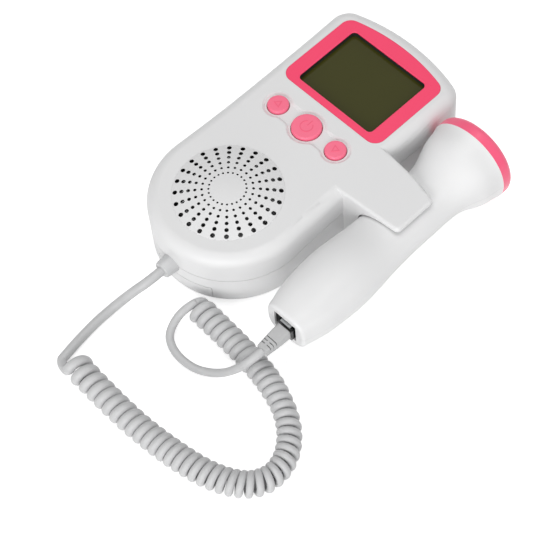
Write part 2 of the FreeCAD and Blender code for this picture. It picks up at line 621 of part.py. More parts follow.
def back_case():
    jaw = prism(holder_outline(JAW_TIP_X), 0, SEAM_HEIGHT)
    jaw = jaw.makeFillet(HOLDER_EDGE_RADIUS, level_edges(jaw, 0))
    lower = box(-END_RADIUS, END_RADIUS, END_Y, TOP_Y, 0, SEAM_HEIGHT)
    shell = fused([case_body().common(lower), jaw]).cut(case_cavity())
    bosses = [post(CASE_BOSS_RADIUS, x, y, WALL / 2, SEAM_HEIGHT) for x, y in CASE_SCREWS]
    cradle = box(-PHONE_BODY_WIDTH / 2, PHONE_BODY_WIDTH / 2, TOP_Y - WALL - PHONE_BORE_LENGTH,
                 TOP_Y - WALL - SEAT_GAP, WALL / 2, PHONE_HEIGHT - PHONE_BODY_HEIGHT / 2)
    shell = fused([shell, battery_bay(), cradle] + bosses)
    heads = [post(SCREW_HEAD_RADIUS + SEAT_GAP, x, y, -WALL, CASE_SCREW_SEAT) for x, y in CASE_SCREWS]
    shafts = [post(SCREW_SHAFT_RADIUS + SEAT_GAP, x, y, -WALL, SEAM_HEIGHT) for x, y in CASE_SCREWS]
    cuts = [bay_room(), door_room(), neck_channel(), seam_groove(),
            rod(GLAND_NECK_RADIUS, 0, GLAND_HEIGHT, END_Y - WALL, END_Y + WALL + GLAND_SADDLE),
            rod(PHONE_BARREL_RADIUS + SEAT_GAP, 0, PHONE_HEIGHT, TOP_Y - 2 * WALL, TOP_Y + WALL)]
    return shell.cut(cuts + heads + shafts)


# ---- Battery door and batteries ------------------------------------------------------------------

def battery_door():
    """Flat door that wraps up the round end wall and turns on its round edge and its two pins."""
    trim = box(-DOOR_HALF_WIDTH, DOOR_HALF_WIDTH, END_Y - WALL, HINGE_Y, 0, DOOR_WALL_HEIGHT)
    ring = post(END_RADIUS, 0, END_CENTRE_Y, 0, DOOR_WALL_HEIGHT)
    ring = ring.cut(post(END_RADIUS - DOOR_THICKNESS, 0, END_CENTRE_Y, 0, DOOR_WALL_HEIGHT))
    ring = ring.common(box(-END_RADIUS, END_RADIUS, END_Y, BAY_LOW_Y - RUNNING_GAP, 0, CASE_HEIGHT))
    plate = box(-DOOR_HALF_WIDTH, DOOR_HALF_WIDTH, END_Y, HINGE_Y, 0, DOOR_THICKNESS)
    body = fused([ring, plate]).common(case_body()).common(trim)
    edge = hinge_rod(HINGE_RADIUS, DOOR_HALF_WIDTH)
    pins = hinge_rod(DOOR_PIN_RADIUS, DOOR_HALF_WIDTH + DOOR_PIN_LENGTH)
    grips = []
    for index in range(GRIP_COUNT):
        y = BAY_LOW_Y + (index + 1) * GRIP_PITCH
        grips.append(rod(GRIP_RADIUS, 0, 0, 0, GRIP_WIDTH))
        grips[-1].rotate(Vector(), Vector(0, 0, 1), -90)
        grips[-1].translate(Vector(-GRIP_WIDTH / 2, y, 0))
    return fused([body, edge, pins]).cut(grips)


def battery(side):
    """One AA cell: the left one points its nub up the case, the right one down."""
    body_length = CELL_LENGTH - CELL_NUB_LENGTH
    start = BAY_LOW_Y + PLATE_THICKNESS + SPRING_LENGTH
    cell = rod(CELL_RADIUS, 0, 0, 0, body_length)
    cell = cell.makeFillet(RUNNING_GAP, cell.Edges)
    nub = rod(CELL_NUB_RADIUS, 0, 0, body_length - SEAT_GAP, CELL_LENGTH)
    cell = fused([cell, nub])
    if side > 0:
        cell.rotate(Vector(0, CELL_LENGTH / 2, 0), Vector(0, 0, 1), 180)
        start = BAY_LOW_Y + PLATE_THICKNESS
    cell.translate(Vector(side * CELL_X, start, CELL_Z))
    return cell


def spring_path(height):
    """A helix, drawn as quarter turns."""
    def point(turn):
        angle = 2 * math.pi * turn
        return Vector(SPRING_RADIUS * math.cos(angle), SPRING_RADIUS * math.sin(angle),
                      height * turn / SPRING_TURNS)

    quarters = [index / 4 for index in range(4 * SPRING_TURNS)]
    return Part.Wire([Part.Arc(point(q), point(q + 1 / 8), point(q + 1 / 4)).toShape() for q in quarters])


def battery_springs():
    """A coil spring at the flat end of each cell."""
    springs = []
    for side, y in ((-1, BAY_LOW_Y + PLATE_THICKNESS), (1, BAY_HIGH_Y - PLATE_THICKNESS - SPRING_LENGTH)):
        height = SPRING_LENGTH - SPRING_WIRE
        path = spring_path(height)
        ring = Part.Wire(Part.makeCircle(SPRING_WIRE / 2, path.Vertexes[0].Point, Vector(0, 1, 0)))
        spring = path.makePipeShell([ring], True, True)
        spring.rotate(Vector(), Vector(1, 0, 0), -90)
        spring.translate(Vector(side * CELL_X, y + SPRING_WIRE / 2, CELL_Z))
        springs.append(spring)
    return Part.makeCompound(springs)


def battery_plates():
    half = CELL_RADIUS - 2 * RUNNING_GAP
    upper = [box(side * CELL_X - half, side * CELL_X + half, BAY_HIGH_Y - PLATE_THICKNESS, BAY_HIGH_Y,
                 CELL_Z - half, CELL_Z + half) for side in (-1, 1)]
    bridge = box(-CELL_X - half, CELL_X + half, BAY_LOW_Y, BAY_LOW_Y + PLATE_THICKNESS,
                 CELL_Z - half, CELL_Z + half)
    return Part.makeCompound(upper + [bridge])


# ---- Loudspeaker ---------------------------------------------------------------------------------

def dome_height(radius, dome_radius, apex):
    return apex - dome_radius + math.sqrt(dome_radius ** 2 - radius ** 2)


def speaker_grille():
    """Domed grille with a skirt and a flange that seats behind the face."""
    edge = CASE_HEIGHT + GRILLE_EDGE_RISE
    apex = edge + GRILLE_DOME_RADIUS - math.sqrt(GRILLE_DOME_RADIUS ** 2 - GRILLE_RADIUS ** 2)
    inner_radius = GRILLE_RADIUS - GRILLE_SKIRT
    flange_bottom = FACE_INSIDE - FLANGE_THICKNESS
    ball = Part.makeSphere(GRILLE_DOME_RADIUS, Vector(0, 0, apex - GRILLE_DOME_RADIUS))
    hollow = Part.makeSphere(GRILLE_DOME_RADIUS - GRILLE_THICKNESS, Vector(0, 0, apex - GRILLE_DOME_RADIUS))
    dome = post(GRILLE_RADIUS, 0, 0, flange_bottom, apex + 1).common(ball)
    dome = dome.makeFillet(GRILLE_EDGE_RISE, level_edges(dome, edge))
    dome = dome.cut(post(inner_radius, 0, 0, flange_bottom, apex).common(hollow))
    flange = post(GRILLE_RADIUS + GRILLE_FLANGE, 0, 0, flange_bottom, FACE_INSIDE)
    flange = flange.cut(post(inner_radius, 0, 0, flange_bottom, FACE_INSIDE))
    holes = []
    for ring in range(RING_COUNT):
        share = ring / (RING_COUNT - 1)
        radius = FIRST_RING_RADIUS + share * (LAST_RING_RADIUS - FIRST_RING_RADIUS)
        hole = FIRST_HOLE_DIAMETER + share * (LAST_HOLE_DIAMETER - FIRST_HOLE_DIAMETER)
        for ray in range(RAY_COUNT):
            angle = 2 * math.pi * ray / RAY_COUNT
            holes.append(post(hole / 2, radius * math.sin(angle), radius * math.cos(angle),
                              flange_bottom, apex + 1))
    return fused([dome, flange]).cut(holes)


def grille_mesh():
    top = FACE_INSIDE - FLANGE_THICKNESS
    return post(GRILLE_RADIUS, 0, 0, top - MESH_THICKNESS, top)


def speaker_levels():
    rim_top = FACE_INSIDE - FLANGE_THICKNESS - MESH_THICKNESS
    rim_bottom = rim_top - SPEAKER_RIM_THICKNESS
    throat = rim_bottom - CONE_DEPTH
    return rim_top, rim_bottom, throat


def speaker_frame():
    rim_top, rim_bottom, throat = speaker_levels()
    wall = SPEAKER_RIM_THICKNESS
    inner = SPEAKER_RADIUS - SPEAKER_RIM
    return turned([
        (SPEAKER_RADIUS, rim_top), (SPEAKER_RADIUS, rim_bottom), (inner, rim_bottom),
        (MAGNET_RADIUS, throat - wall), (CONE_THROAT_RADIUS, throat - wall),
        (CONE_THROAT_RADIUS, throat), (MAGNET_RADIUS - wall, throat), (inner - wall, rim_bottom + wall / 2),
        (inner - wall, rim_top),
    ])


def speaker_cone():
    rim_top, rim_bottom, throat = speaker_levels()
    edge = SPEAKER_RADIUS - SPEAKER_RIM - SPEAKER_RIM_THICKNESS - SEAT_GAP
    top = rim_top - SEAT_GAP
    low = throat + CONE_DEPTH / 3
    return turned([
        (0, low + CONE_DEPTH / 3), (CONE_THROAT_RADIUS, low), (edge - 1, top), (edge, top),
        (edge, top - CONE_THICKNESS), (edge - 1, top - CONE_THICKNESS),
        (CONE_THROAT_RADIUS, low - CONE_THICKNESS), (0, low + CONE_DEPTH / 3 - CONE_THICKNESS),
    ])


def speaker_magnet():
    throat = speaker_levels()[2]
    top = throat - SPEAKER_RIM_THICKNESS
    return post(MAGNET_RADIUS, 0, 0, top - MAGNET_HEIGHT, top)


# ---- Display and board ---------------------------------------------------------------------------

def lcd_bezel():
    """Frame flush with the face, with a collar down round the view to the window."""
    plate = prism(bezel_outline(), BEZEL_BACK, CASE_HEIGHT)
    collar = prism(display_view().makeOffset2D(WINDOW_MARGIN), WINDOW_TOP, CASE_HEIGHT)
    bezel = fused([plate, collar]).cut(prism(display_view(), WINDOW_TOP, CASE_HEIGHT))
    view_edges = [e for e in level_edges(bezel, CASE_HEIGHT)
                  if e.BoundBox.XMin > -VIEW_HALF_WIDTH - SEAT_GAP
                  and e.BoundBox.XMax < VIEW_HALF_WIDTH + SEAT_GAP
                  and e.BoundBox.YMin > VIEW_LOW_Y - SEAT_GAP and e.BoundBox.YMax < VIEW_HIGH_Y + SEAT_GAP]
    return bezel.makeFillet(BEZEL_EDGE_RADIUS, view_edges)


def lcd_window():
    return prism(display_view().makeOffset2D(WINDOW_MARGIN), PANEL_TOP, WINDOW_TOP)


def display_block(margin, z0, z1):
    return prism(rectangle(-VIEW_HALF_WIDTH - margin, VIEW_HALF_WIDTH + margin,
                           VIEW_LOW_Y - margin, VIEW_HIGH_Y + margin), z0, z1)


def lcd_panel():
    return display_block(WINDOW_MARGIN, PANEL_BOTTOM, PANEL_TOP)


def lcd_backlight():
    return display_block(BACKLIGHT_MARGIN, BOARD_TOP, PANEL_BOTTOM)


def main_board():
    plate = prism(rounded(rectangle(-BOARD_HALF_WIDTH, BOARD_HALF_WIDTH, BOARD_LOW_Y, BOARD_HIGH_Y),
                          BOARD_CORNER), BOARD_BOTTOM, BOARD_TOP)
    holes = [post(BOARD_SCREW_RADIUS + SEAT_GAP, x, y, BOARD_BOTTOM, BOARD_TOP) for x, y in BOARD_POSTS]
    return plate.cut(holes)


def board_chips():
    """Processor, amplifier and two capacitors on the back of the board."""
    top = BOARD_BOTTOM
    bottom = top - CHIP_HEIGHT
    processor = box(-PROCESSOR_SIDE / 2, PROCESSOR_SIDE / 2, PROCESSOR_Y, PROCESSOR_Y + PROCESSOR_SIDE,
                    bottom, top)
    amplifier = box(AMPLIFIER_X, AMPLIFIER_X + AMPLIFIER_WIDTH, AMPLIFIER_Y,
                    AMPLIFIER_Y + AMPLIFIER_LENGTH, bottom, top)
    capacitors = [post(CAPACITOR_RADIUS, x, BOARD_HIGH_Y - CAPACITOR_INSET, bottom - CHIP_HEIGHT, top)
                  for x in CAPACITOR_XS]
    return Part.makeCompound([processor, amplifier] + capacitors)


# ---- Keys ----------------------------------------------------------------------------------------

def key_cap(x, radius):
    """A round cap, a flange that holds it behind the face and a stem down to its switch."""
    cap = post(radius, x, KEY_ROW_Y, KEY_FLANGE_BOTTOM, CASE_HEIGHT + KEY_RISE)
    cap = cap.makeFillet(KEY_EDGE_RADIUS, level_edges(cap, CASE_HEIGHT + KEY_RISE))
    flange = post(radius + KEY_FLANGE, x, KEY_ROW_Y, KEY_FLANGE_BOTTOM, KEY_FLANGE_TOP)
    stem = post(KEY_STEM_RADIUS, x, KEY_ROW_Y, PLUNGER_TOP, KEY_FLANGE_BOTTOM)
    return fused([cap, flange, stem])


def key_switch(x):
    half = SWITCH_SIDE / 2
    body = box(x - half, x + half, KEY_ROW_Y - half, KEY_ROW_Y + half, BOARD_TOP, SWITCH_TOP)
    well = post(PLUNGER_RADIUS + RUNNING_GAP, x, KEY_ROW_Y, BOARD_TOP + CHIP_HEIGHT, SWITCH_TOP)
    return body.cut(well)


def key_plunger(x):
    bottom = BOARD_TOP + CHIP_HEIGHT + KEY_TRAVEL + RUNNING_GAP
    return post(PLUNGER_RADIUS, x, KEY_ROW_Y, bottom, PLUNGER_TOP)


# ---- Screws, gland and headphone socket ----------------------------------------------------------

def screw(x, y, seat, length, shaft, head, head_height):
    """A screw driven upwards: its head under the seat, a cross recess in the head."""
    body = fused([post(head, x, y, seat - head_height, seat),
                  post(shaft, x, y, seat - SEAT_GAP, seat + length)])
    slot = shaft / 2.5
    low = seat - head_height
    cross = [box(x - shaft, x + shaft, y - slot / 2, y + slot / 2, low, low + head_height / 2),
             box(x - slot / 2, x + slot / 2, y - shaft, y + shaft, low, low + head_height / 2)]
    return body.cut(cross)


def case_screws():
    return Part.makeCompound([
        screw(x, y, CASE_SCREW_SEAT, CASE_SCREW_LENGTH, SCREW_SHAFT_RADIUS, SCREW_HEAD_RADIUS,
              SCREW_HEAD_HEIGHT) for x, y in CASE_SCREWS])


def board_screws():
    return Part.makeCompound([
        screw(x, y, BOARD_BOTTOM, BOARD_SCREW_LENGTH, BOARD_SCREW_RADIUS, BOARD_SCREW_HEAD,
              BOARD_SCREW_HEAD / 2) for x, y in BOARD_POSTS])


def cord_gland():
    """Grey boot outside the wall, a neck through it and a flange inside."""
    boot = Part.makeCone(GLAND_TIP_RADIUS, GLAND_WALL_RADIUS, GLAND_LENGTH + GLAND_SADDLE,
                         Vector(0, GLAND_TIP_Y, GLAND_HEIGHT), Vector(0, 1, 0))
    tip = [e for e in boot.Edges if e.BoundBox.YMax < GLAND_TIP_Y + SEAT_GAP]
    boot = boot.makeFillet(GLAND_TIP_EDGE, tip).cut(post(END_RADIUS, 0, END_CENTRE_Y, 0, CASE_HEIGHT))
    flange_y = END_Y + WALL + GLAND_SADDLE
    neck = rod(GLAND_NECK_RADIUS - SEAT_GAP, 0, GLAND_HEIGHT, END_Y - SEAT_GAP, flange_y)
    flange = rod(GLAND_FLANGE_RADIUS, 0, GLAND_HEIGHT, flange_y - GLAND_SADDLE,
                 flange_y + GLAND_FLANGE_THICKNESS)
    flange = flange.common(post(END_RADIUS - WALL, 0, END_CENTRE_Y, 0, CASE_HEIGHT))
    return fused([boot, neck, flange])


def headphone_jack():
    """Socket block on its cradle, with a barrel that ends flush in the upper end wall."""
    inside_y = TOP_Y - WALL - SEAT_GAP
    half = PHONE_BODY_WIDTH / 2
    block = box(-half, half, inside_y - PHONE_BORE_LENGTH, inside_y,
                PHONE_HEIGHT - PHONE_BODY_HEIGHT / 2, PHONE_HEIGHT + PHONE_BODY_HEIGHT / 2)
    barrel = rod(PHONE_BARREL_RADIUS, 0, PHONE_HEIGHT, inside_y - SEAT_GAP, TOP_Y)
    bore = rod(PHONE_BORE_RADIUS, 0, PHONE_HEIGHT, TOP_Y - PHONE_BORE_LENGTH, TOP_Y)
    return fused([block, barrel]).cut(bore)


# ---- Probe ---------------------------------------------------------------------------------------

def probe_section(y, half_width, half_height, squareness, inset):
    """A smooth closed curve across the probe, between an ellipse and a rounded box."""
    points = []
    for index in range(SECTION_POINTS):
        angle = 2 * math.pi * index / SECTION_POINTS
        c = math.cos(angle)
        s = math.sin(angle)
        x = math.copysign(abs(c) ** (2 / squareness), c) * (half_width - inset)
        z = math.copysign(abs(s) ** (2 / squareness), s) * (half_height - inset)
        points.append(Vector(PROBE_X + x, y, PROBE_Z + z))
    curve = Part.BSplineCurve()
    curve.interpolate(Points=points, PeriodicFlag=True)
    return Part.Wire(curve.toShape())


def probe_form(inset):
    """The probe's outer form, or with an inset the room inside its shells."""
    sections = list(PROBE_SECTIONS)
    if inset > 0:
        y, half_width, half_height, squareness = sections[0]
        sections[0] = (y + inset, half_width, half_height, squareness)
    wires = [probe_section(*section, inset) for section in sections]
    return Part.makeLoft(wires, True, False)


def probe_bosses():
    return [post(PROBE_BOSS_RADIUS, PROBE_X, y, PROBE_Z - HEAD_RADIUS, PROBE_Z + HEAD_RADIUS)
            for y in PROBE_SCREW_YS]


def probe_shell(upper):
    """One half of the hollow handle and head, split at the middle plane."""
    outer = probe_form(0)
    end = [e for e in outer.Edges if e.BoundBox.YMax < PROBE_END_Y + SEAT_GAP]
    outer = outer.makeFillet(PROBE_END_RADIUS, end)
    shell = outer.cut(probe_form(PROBE_WALL))
    shell = fused([shell] + [boss.common(probe_form(PROBE_WALL / 2)) for boss in probe_bosses()])
    low, high = (PROBE_Z, PROBE_Z + 2 * HEAD_RADIUS) if upper else (PROBE_Z - 2 * HEAD_RADIUS, PROBE_Z)
    half = shell.common(box(PROBE_X - 2 * HEAD_RADIUS, PROBE_X + 2 * HEAD_RADIUS,
                            PROBE_END_Y - WALL, HEAD_Y + WALL, low, high))
    socket = box(PROBE_X - SOCKET_HALF_WIDTH, PROBE_X + SOCKET_HALF_WIDTH, PROBE_END_Y - WALL,
                 JACK_FRONT_Y, SOCKET_Z - SOCKET_HALF_HEIGHT, SOCKET_Z + SOCKET_HALF_HEIGHT)
    board_room = box(PROBE_X - HEAD_RADIUS, PROBE_X + HEAD_RADIUS, PROBE_BOARD_START - SEAT_GAP,
                     PROBE_BOARD_START + PROBE_BOARD_LENGTH + SEAT_GAP,
                     PROBE_Z - BOARD_THICKNESS / 2, PROBE_Z + BOARD_THICKNESS / 2)
    cuts = [socket, board_room.common(probe_form(PROBE_WALL))]
    pilot_top = PROBE_Z - PROBE_SCREW_SEAT + PROBE_SCREW_LENGTH + SEAT_GAP
    for y in PROBE_SCREW_YS:
        seat = PROBE_Z - PROBE_SCREW_SEAT
        cuts.append(post(SCREW_SHAFT_RADIUS + SCREW_HOLE_GAP, PROBE_X, y, seat - SEAT_GAP, pilot_top))
        cuts.append(post(SCREW_HEAD_RADIUS + SEAT_GAP, PROBE_X, y, PROBE_Z - 2 * HEAD_RADIUS, seat))
    return half.cut(cuts)


def probe_screws():
    return Part.makeCompound([
        screw(PROBE_X, y, PROBE_Z - PROBE_SCREW_SEAT, PROBE_SCREW_LENGTH, SCREW_SHAFT_RADIUS,
              SCREW_HEAD_RADIUS, SCREW_HEAD_HEIGHT) for y in PROBE_SCREW_YS])


def probe_disc(radius, y0, y1):
    return rod(radius, PROBE_X, PROBE_Z, y0, y1)


def probe_cap():
    """Pink rim: a rounded ring on the head's open end, with a lip inside the shells."""
    front = HEAD_Y + CAP_LENGTH
    ring = probe_disc(HEAD_RADIUS, HEAD_Y, front)
    face_edge = [e for e in ring.Edges if e.BoundBox.YMin > front - SEAT_GAP]
    ring = ring.makeFillet(CAP_EDGE_RADIUS, face_edge)
    lip_radius = HEAD_RADIUS - PROBE_WALL - CAP_LIP_GAP
    lip = Part.makeCone(lip_radius - CAP_LIP_TAPER, lip_radius, CAP_LIP,
                        Vector(PROBE_X, HEAD_Y - CAP_LIP, PROBE_Z), Vector(0, 1, 0))
    seat = front - ACOUSTIC_THICKNESS
    return fused([ring, lip]).cut([probe_disc(ACOUSTIC_RADIUS + SEAT_GAP, seat, front),
                                   probe_disc(ACOUSTIC_RADIUS - ACOUSTIC_SHELF, HEAD_Y - 2 * CAP_LIP, seat)])


def acoustic_window():
    front = HEAD_Y + CAP_LENGTH
    return probe_disc(ACOUSTIC_RADIUS, front - ACOUSTIC_THICKNESS, front)


def crystal_halves():
    """Two half-moon crystals behind the window: one sends and one listens."""
    top = HEAD_Y + CAP_LENGTH - ACOUSTIC_THICKNESS
    disc = probe_disc(ACOUSTIC_RADIUS - CRYSTAL_MARGIN, top - CRYSTAL_THICKNESS, top)
    halves = []
    for side in (-1, 1):
        x0, x1 = sorted((PROBE_X + side * CRYSTAL_SPLIT / 2, PROBE_X + side * HEAD_RADIUS))
        halves.append(disc.common(box(x0, x1, HEAD_Y - HEAD_RADIUS, HEAD_Y + HEAD_RADIUS,
                                      PROBE_Z - HEAD_RADIUS, PROBE_Z + HEAD_RADIUS)))
    return Part.makeCompound(halves)


def crystal_backing():
    top = HEAD_Y + CAP_LENGTH - ACOUSTIC_THICKNESS - CRYSTAL_THICKNESS
    return probe_disc(ACOUSTIC_RADIUS - ACOUSTIC_SHELF - SEAT_GAP, top - BACKING_THICKNESS, top)


def probe_board():
    plate = box(PROBE_X - PROBE_BOARD_HALF_WIDTH, PROBE_X + PROBE_BOARD_HALF_WIDTH, PROBE_BOARD_START,
                PROBE_BOARD_START + PROBE_BOARD_LENGTH, PROBE_Z - BOARD_THICKNESS / 2,
                PROBE_Z + BOARD_THICKNESS / 2)
    return plate.cut([post(SCREW_SHAFT_RADIUS + SEAT_GAP, PROBE_X, y, 0, 2 * PROBE_Z)
                      for y in PROBE_SCREW_YS])


def probe_jack():
    """Black modular socket: a block behind the opening and a nose in it, with room for the plug."""
    half_width = SOCKET_HALF_WIDTH + JACK_WALL
    half_height = SOCKET_HALF_HEIGHT + JACK_WALL
    back = JACK_FRONT_Y + JACK_LENGTH
    face = PROBE_END_Y + JACK_INSET
    block = box(PROBE_X - half_width, PROBE_X + half_width, JACK_FRONT_Y, back,
                SOCKET_Z - half_height, SOCKET_Z + half_height)
    nose = box(PROBE_X - SOCKET_HALF_WIDTH + SEAT_GAP, PROBE_X + SOCKET_HALF_WIDTH - SEAT_GAP,
               face, JACK_FRONT_Y, SOCKET_Z - SOCKET_HALF_HEIGHT + SEAT_GAP,
               SOCKET_Z + SOCKET_HALF_HEIGHT - SEAT_GAP)
    depth = JACK_FRONT_Y + PLUG_DEPTH + RUNNING_GAP
    room = box(PLUG_X - PLUG_HALF_WIDTH - PLUG_GAP, PLUG_X + PLUG_HALF_WIDTH + PLUG_GAP,
               face, depth, PLUG_Z - PLUG_HALF_HEIGHT - PLUG_GAP,
               PLUG_Z + PLUG_HALF_HEIGHT + PLUG_GAP)
    latch_room = box(PLUG_X - LATCH_HALF_WIDTH - PLUG_GAP, PLUG_X + LATCH_HALF_WIDTH + PLUG_GAP,
                     face, depth, PLUG_Z,
                     PLUG_Z + PLUG_HALF_HEIGHT + LATCH_RISE + LATCH_THICKNESS + PLUG_GAP)
    return fused([block, nose]).cut([room, latch_room])


# ---- Plug ----------------------------------------------------------------------------------------

def plug_housing():
    """Clear modular plug: a block with a springy latch that rises from its nose."""
    nose = PLUG_TAIL_Y + PLUG_LENGTH
    block = box(PLUG_X - PLUG_HALF_WIDTH, PLUG_X + PLUG_HALF_WIDTH, PLUG_TAIL_Y, nose,
                PLUG_Z - PLUG_HALF_HEIGHT, PLUG_Z + PLUG_HALF_HEIGHT)
    top = PLUG_Z + PLUG_HALF_HEIGHT
    root_y = nose - LATCH_NOSE
    end_y = PLUG_TAIL_Y + LATCH_SETBACK
    profile = [(root_y, top - LATCH_THICKNESS), (nose, top - LATCH_THICKNESS), (nose, top),
               (end_y, top + LATCH_RISE + LATCH_THICKNESS), (end_y, top + LATCH_RISE), (root_y, top)]
    points = [Vector(PLUG_X - LATCH_HALF_WIDTH, y, z) for y, z in profile]
    latch = Part.Face(Part.makePolygon(points + points[:1])).extrude(Vector(2 * LATCH_HALF_WIDTH, 0, 0))
    half = CONTACT_WIDTH / 2 + SCREW_HOLE_GAP
    slots = [box(x - half, x + half, nose - CONTACT_LENGTH - RUNNING_GAP, nose,
                 PLUG_Z - PLUG_HALF_HEIGHT, PLUG_Z - CONTACT_TOP) for x in contact_places()]
    return fused([block, latch]).cut(slots)


def contact_places():
    middle = (CONTACT_COUNT - 1) / 2
    return [PLUG_X + (index - middle) * CONTACT_PITCH for index in range(CONTACT_COUNT)]


def plug_contacts():
    nose = PLUG_TAIL_Y + PLUG_LENGTH
    bottom = PLUG_Z - PLUG_HALF_HEIGHT + CONTACT_SUNK
    half = CONTACT_WIDTH / 2
    return Part.makeCompound([box(x - half, x + half, nose - CONTACT_LENGTH, nose - CONTACT_SUNK,
                                  bottom, PLUG_Z - CONTACT_TOP) for x in contact_places()])


def boot_section(y, half_width, half_height):
    """A rounded box across the boot."""
    face = rounded(rectangle(-half_width, half_width, -half_height, half_height), BOOT_CORNER)
    wire = face.OuterWire
    wire.rotate(Vector(), Vector(1, 0, 0), 90)
    wire.translate(Vector(PLUG_X, y, PLUG_Z))
    return wire


def plug_boot():
    """Moulded boot that tapers to the cord, with bend slots round its tail."""
    tail = BOOT_TAIL_RADIUS
    body = Part.makeLoft([boot_section(PLUG_TAIL_Y, BOOT_HALF_WIDTH, BOOT_HALF_HEIGHT),
                          boot_section(BOOT_TAIL_Y + BOOT_SHOULDER, BOOT_SHOULDER_HALF_WIDTH,
                                       BOOT_SHOULDER_HALF_HEIGHT),
                          boot_section(BOOT_TAIL_Y, tail, tail)], True, True)
    outside = 2 * BOOT_HALF_WIDTH
    half = BOOT_SPINE / 2
    slots = []
    for index in range(BOOT_SLOT_COUNT):
        y = BOOT_TAIL_Y + BOOT_SLOT_START + index * BOOT_SLOT_PITCH
        ring = rod(outside, PLUG_X, PLUG_Z, y, y + BOOT_SLOT_WIDTH)
        ring = ring.cut(rod(tail - BOOT_SLOT_DEPTH, PLUG_X, PLUG_Z, y, y + BOOT_SLOT_WIDTH))
        spine = box(PLUG_X - outside, PLUG_X + outside, y, y + BOOT_SLOT_WIDTH, PLUG_Z - half, PLUG_Z + half)
        webs = [spine]
        if index < BRIDGED_SLOT_COUNT:
            webs.append(box(PLUG_X - BOOT_BRIDGE / 2, PLUG_X + BOOT_BRIDGE / 2, y, y + BOOT_SLOT_WIDTH,
                            PLUG_Z, PLUG_Z + outside))
        slots.append(ring.cut(webs))
    return body.cut(slots)


# ---- Cord ----------------------------------------------------------------------------------------

def rounded_path(points):
    """Straight runs joined by tangent arcs, each as large as its two runs allow."""
    points = [Vector(*p) for p in points]
    edges = []
    radii = []
    start = points[0]
    length = 0.0
    for before, corner, after in zip(points, points[1:], points[2:]):
        into = (corner - before).normalize()
        out = (after - corner).normalize()
        half_turn = into.getAngle(out) / 2
        setback = 0.45 * min((corner - before).Length, (after - corner).Length)
        radius = setback / math.tan(half_turn)
        arc_in = corner - into * setback
        arc_out = corner + out * setback
        bisector = (out - into).normalize()
        depth = radius * (1 / math.cos(half_turn) - 1)
        edges.append(Part.LineSegment(start, arc_in).toShape())
        edges.append(Part.Arc(arc_in, corner + bisector * depth, arc_out).toShape())
        length += (arc_in - start).Length + 2 * half_turn * radius
        radii.append(radius)
        start = arc_out
    edges.append(Part.LineSegment(start, points[-1]).toShape())
    length += (points[-1] - start).Length
    return Part.Wire(edges), radii, length


def cord_tube(name, points, diameter):
    path, radii, length = rounded_path(points)
    direction = Vector(*points[1]) - Vector(*points[0])
    ring = Part.Wire(Part.makeCircle(diameter / 2, Vector(*points[0]), direction))
    tube = path.makePipeShell([ring], True, False)
    ideal = math.pi * diameter ** 2 / 4 * length
    print(name, "length", round(length, 1), "radii", [round(r, 1) for r in radii],
          "volume over section times length", round(tube.Volume / ideal, 4))
    return tube


def placed_on_probe(shape):
    shape.rotate(Vector(PROBE_X, PROBE_PIVOT_Y, 0), Vector(0, 0, 1), PROBE_YAW)
    return shape


def boot_tail_points():
    """Where the lead runs straight into the plug's boot."""
    place = FreeCAD.Placement(Vector(), FreeCAD.Rotation(Vector(0, 0, 1), PROBE_YAW),
                              Vector(PROBE_X, PROBE_PIVOT_Y, 0))
    return [tuple(place.multVec(Vector(PLUG_X, y, PLUG_Z)))
            for y in (BOOT_TAIL_Y - BOOT_EXIT_RUN, BOOT_TAIL_Y)]


# ---- The whole ------------------------------------------------------------------------------------

def base_unit():
    nodes = {
        "front_case": front_case(),
        "back_case": back_case(),
        "battery_door": battery_door(),
        "battery_left": battery(-1),
        "battery_right": battery(1),
        "battery_springs": battery_springs(),
        "battery_plates": battery_plates(),
        "speaker_grille": speaker_grille(),
        "grille_mesh": grille_mesh(),
        "speaker_frame": speaker_frame(),
        "speaker_cone": speaker_cone(),
        "speaker_magnet": speaker_magnet(),
        "lcd_bezel": lcd_bezel(),
        "lcd_window": lcd_window(),
        "lcd_panel": lcd_panel(),
        "lcd_backlight": lcd_backlight(),
        "main_board": main_board(),
        "board_chips": board_chips(),
        "case_screws": case_screws(),
        "board_screws": board_screws(),
        "cord_gland": cord_gland(),
        "headphone_jack": headphone_jack(),
    }
    for name, (x, radius) in KEYS.items():
        nodes[name + "_button"] = key_cap(x, radius)
        nodes[name + "_switch"] = key_switch(x)
        nodes[name + "_plunger"] = key_plunger(x)
    return nodes


def probe():
    nodes = {
        "probe_upper_shell": probe_shell(True),
        "probe_lower_shell": probe_shell(False),
        "probe_cap": probe_cap(),
        "acoustic_window": acoustic_window(),
        "crystal_halves": crystal_halves(),
        "crystal_backing": crystal_backing(),
        "probe_board": probe_board(),
        "probe_jack": probe_jack(),
        "probe_screws": probe_screws(),
        "plug_housing": plug_housing(),
        "plug_contacts": plug_contacts(),
        "plug_boot": plug_boot(),
    }
    return {name: placed_on_probe(shape) for name, shape in nodes.items()}


def cord():
    return {
        "cord_lead_base": cord_tube("cord_lead_base", [(0.0, GLAND_TIP_Y, GLAND_HEIGHT)] + LEAD_BASE_ROUTE,
                                    CORD_DIAMETER),
        "cord_coil": cord_tube("cord_coil", COIL_ROUTE, COIL_DIAMETER),
        "cord_lead_probe": cord_tube("cord_lead_probe", LEAD_PROBE_ROUTE + boot_tail_points(),
                                     CORD_DIAMETER),
    }


def main():
    os.makedirs("parts", exist_ok=True)
    for name, shape in {**base_unit(), **probe(), **cord()}.items():
        if not shape.isValid():
            print("not valid:", name)
        shape.exportStep("parts/" + name + ".step")


main()
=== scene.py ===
import math

import bpy
import numpy as np
from mathutils import Matrix, Vector


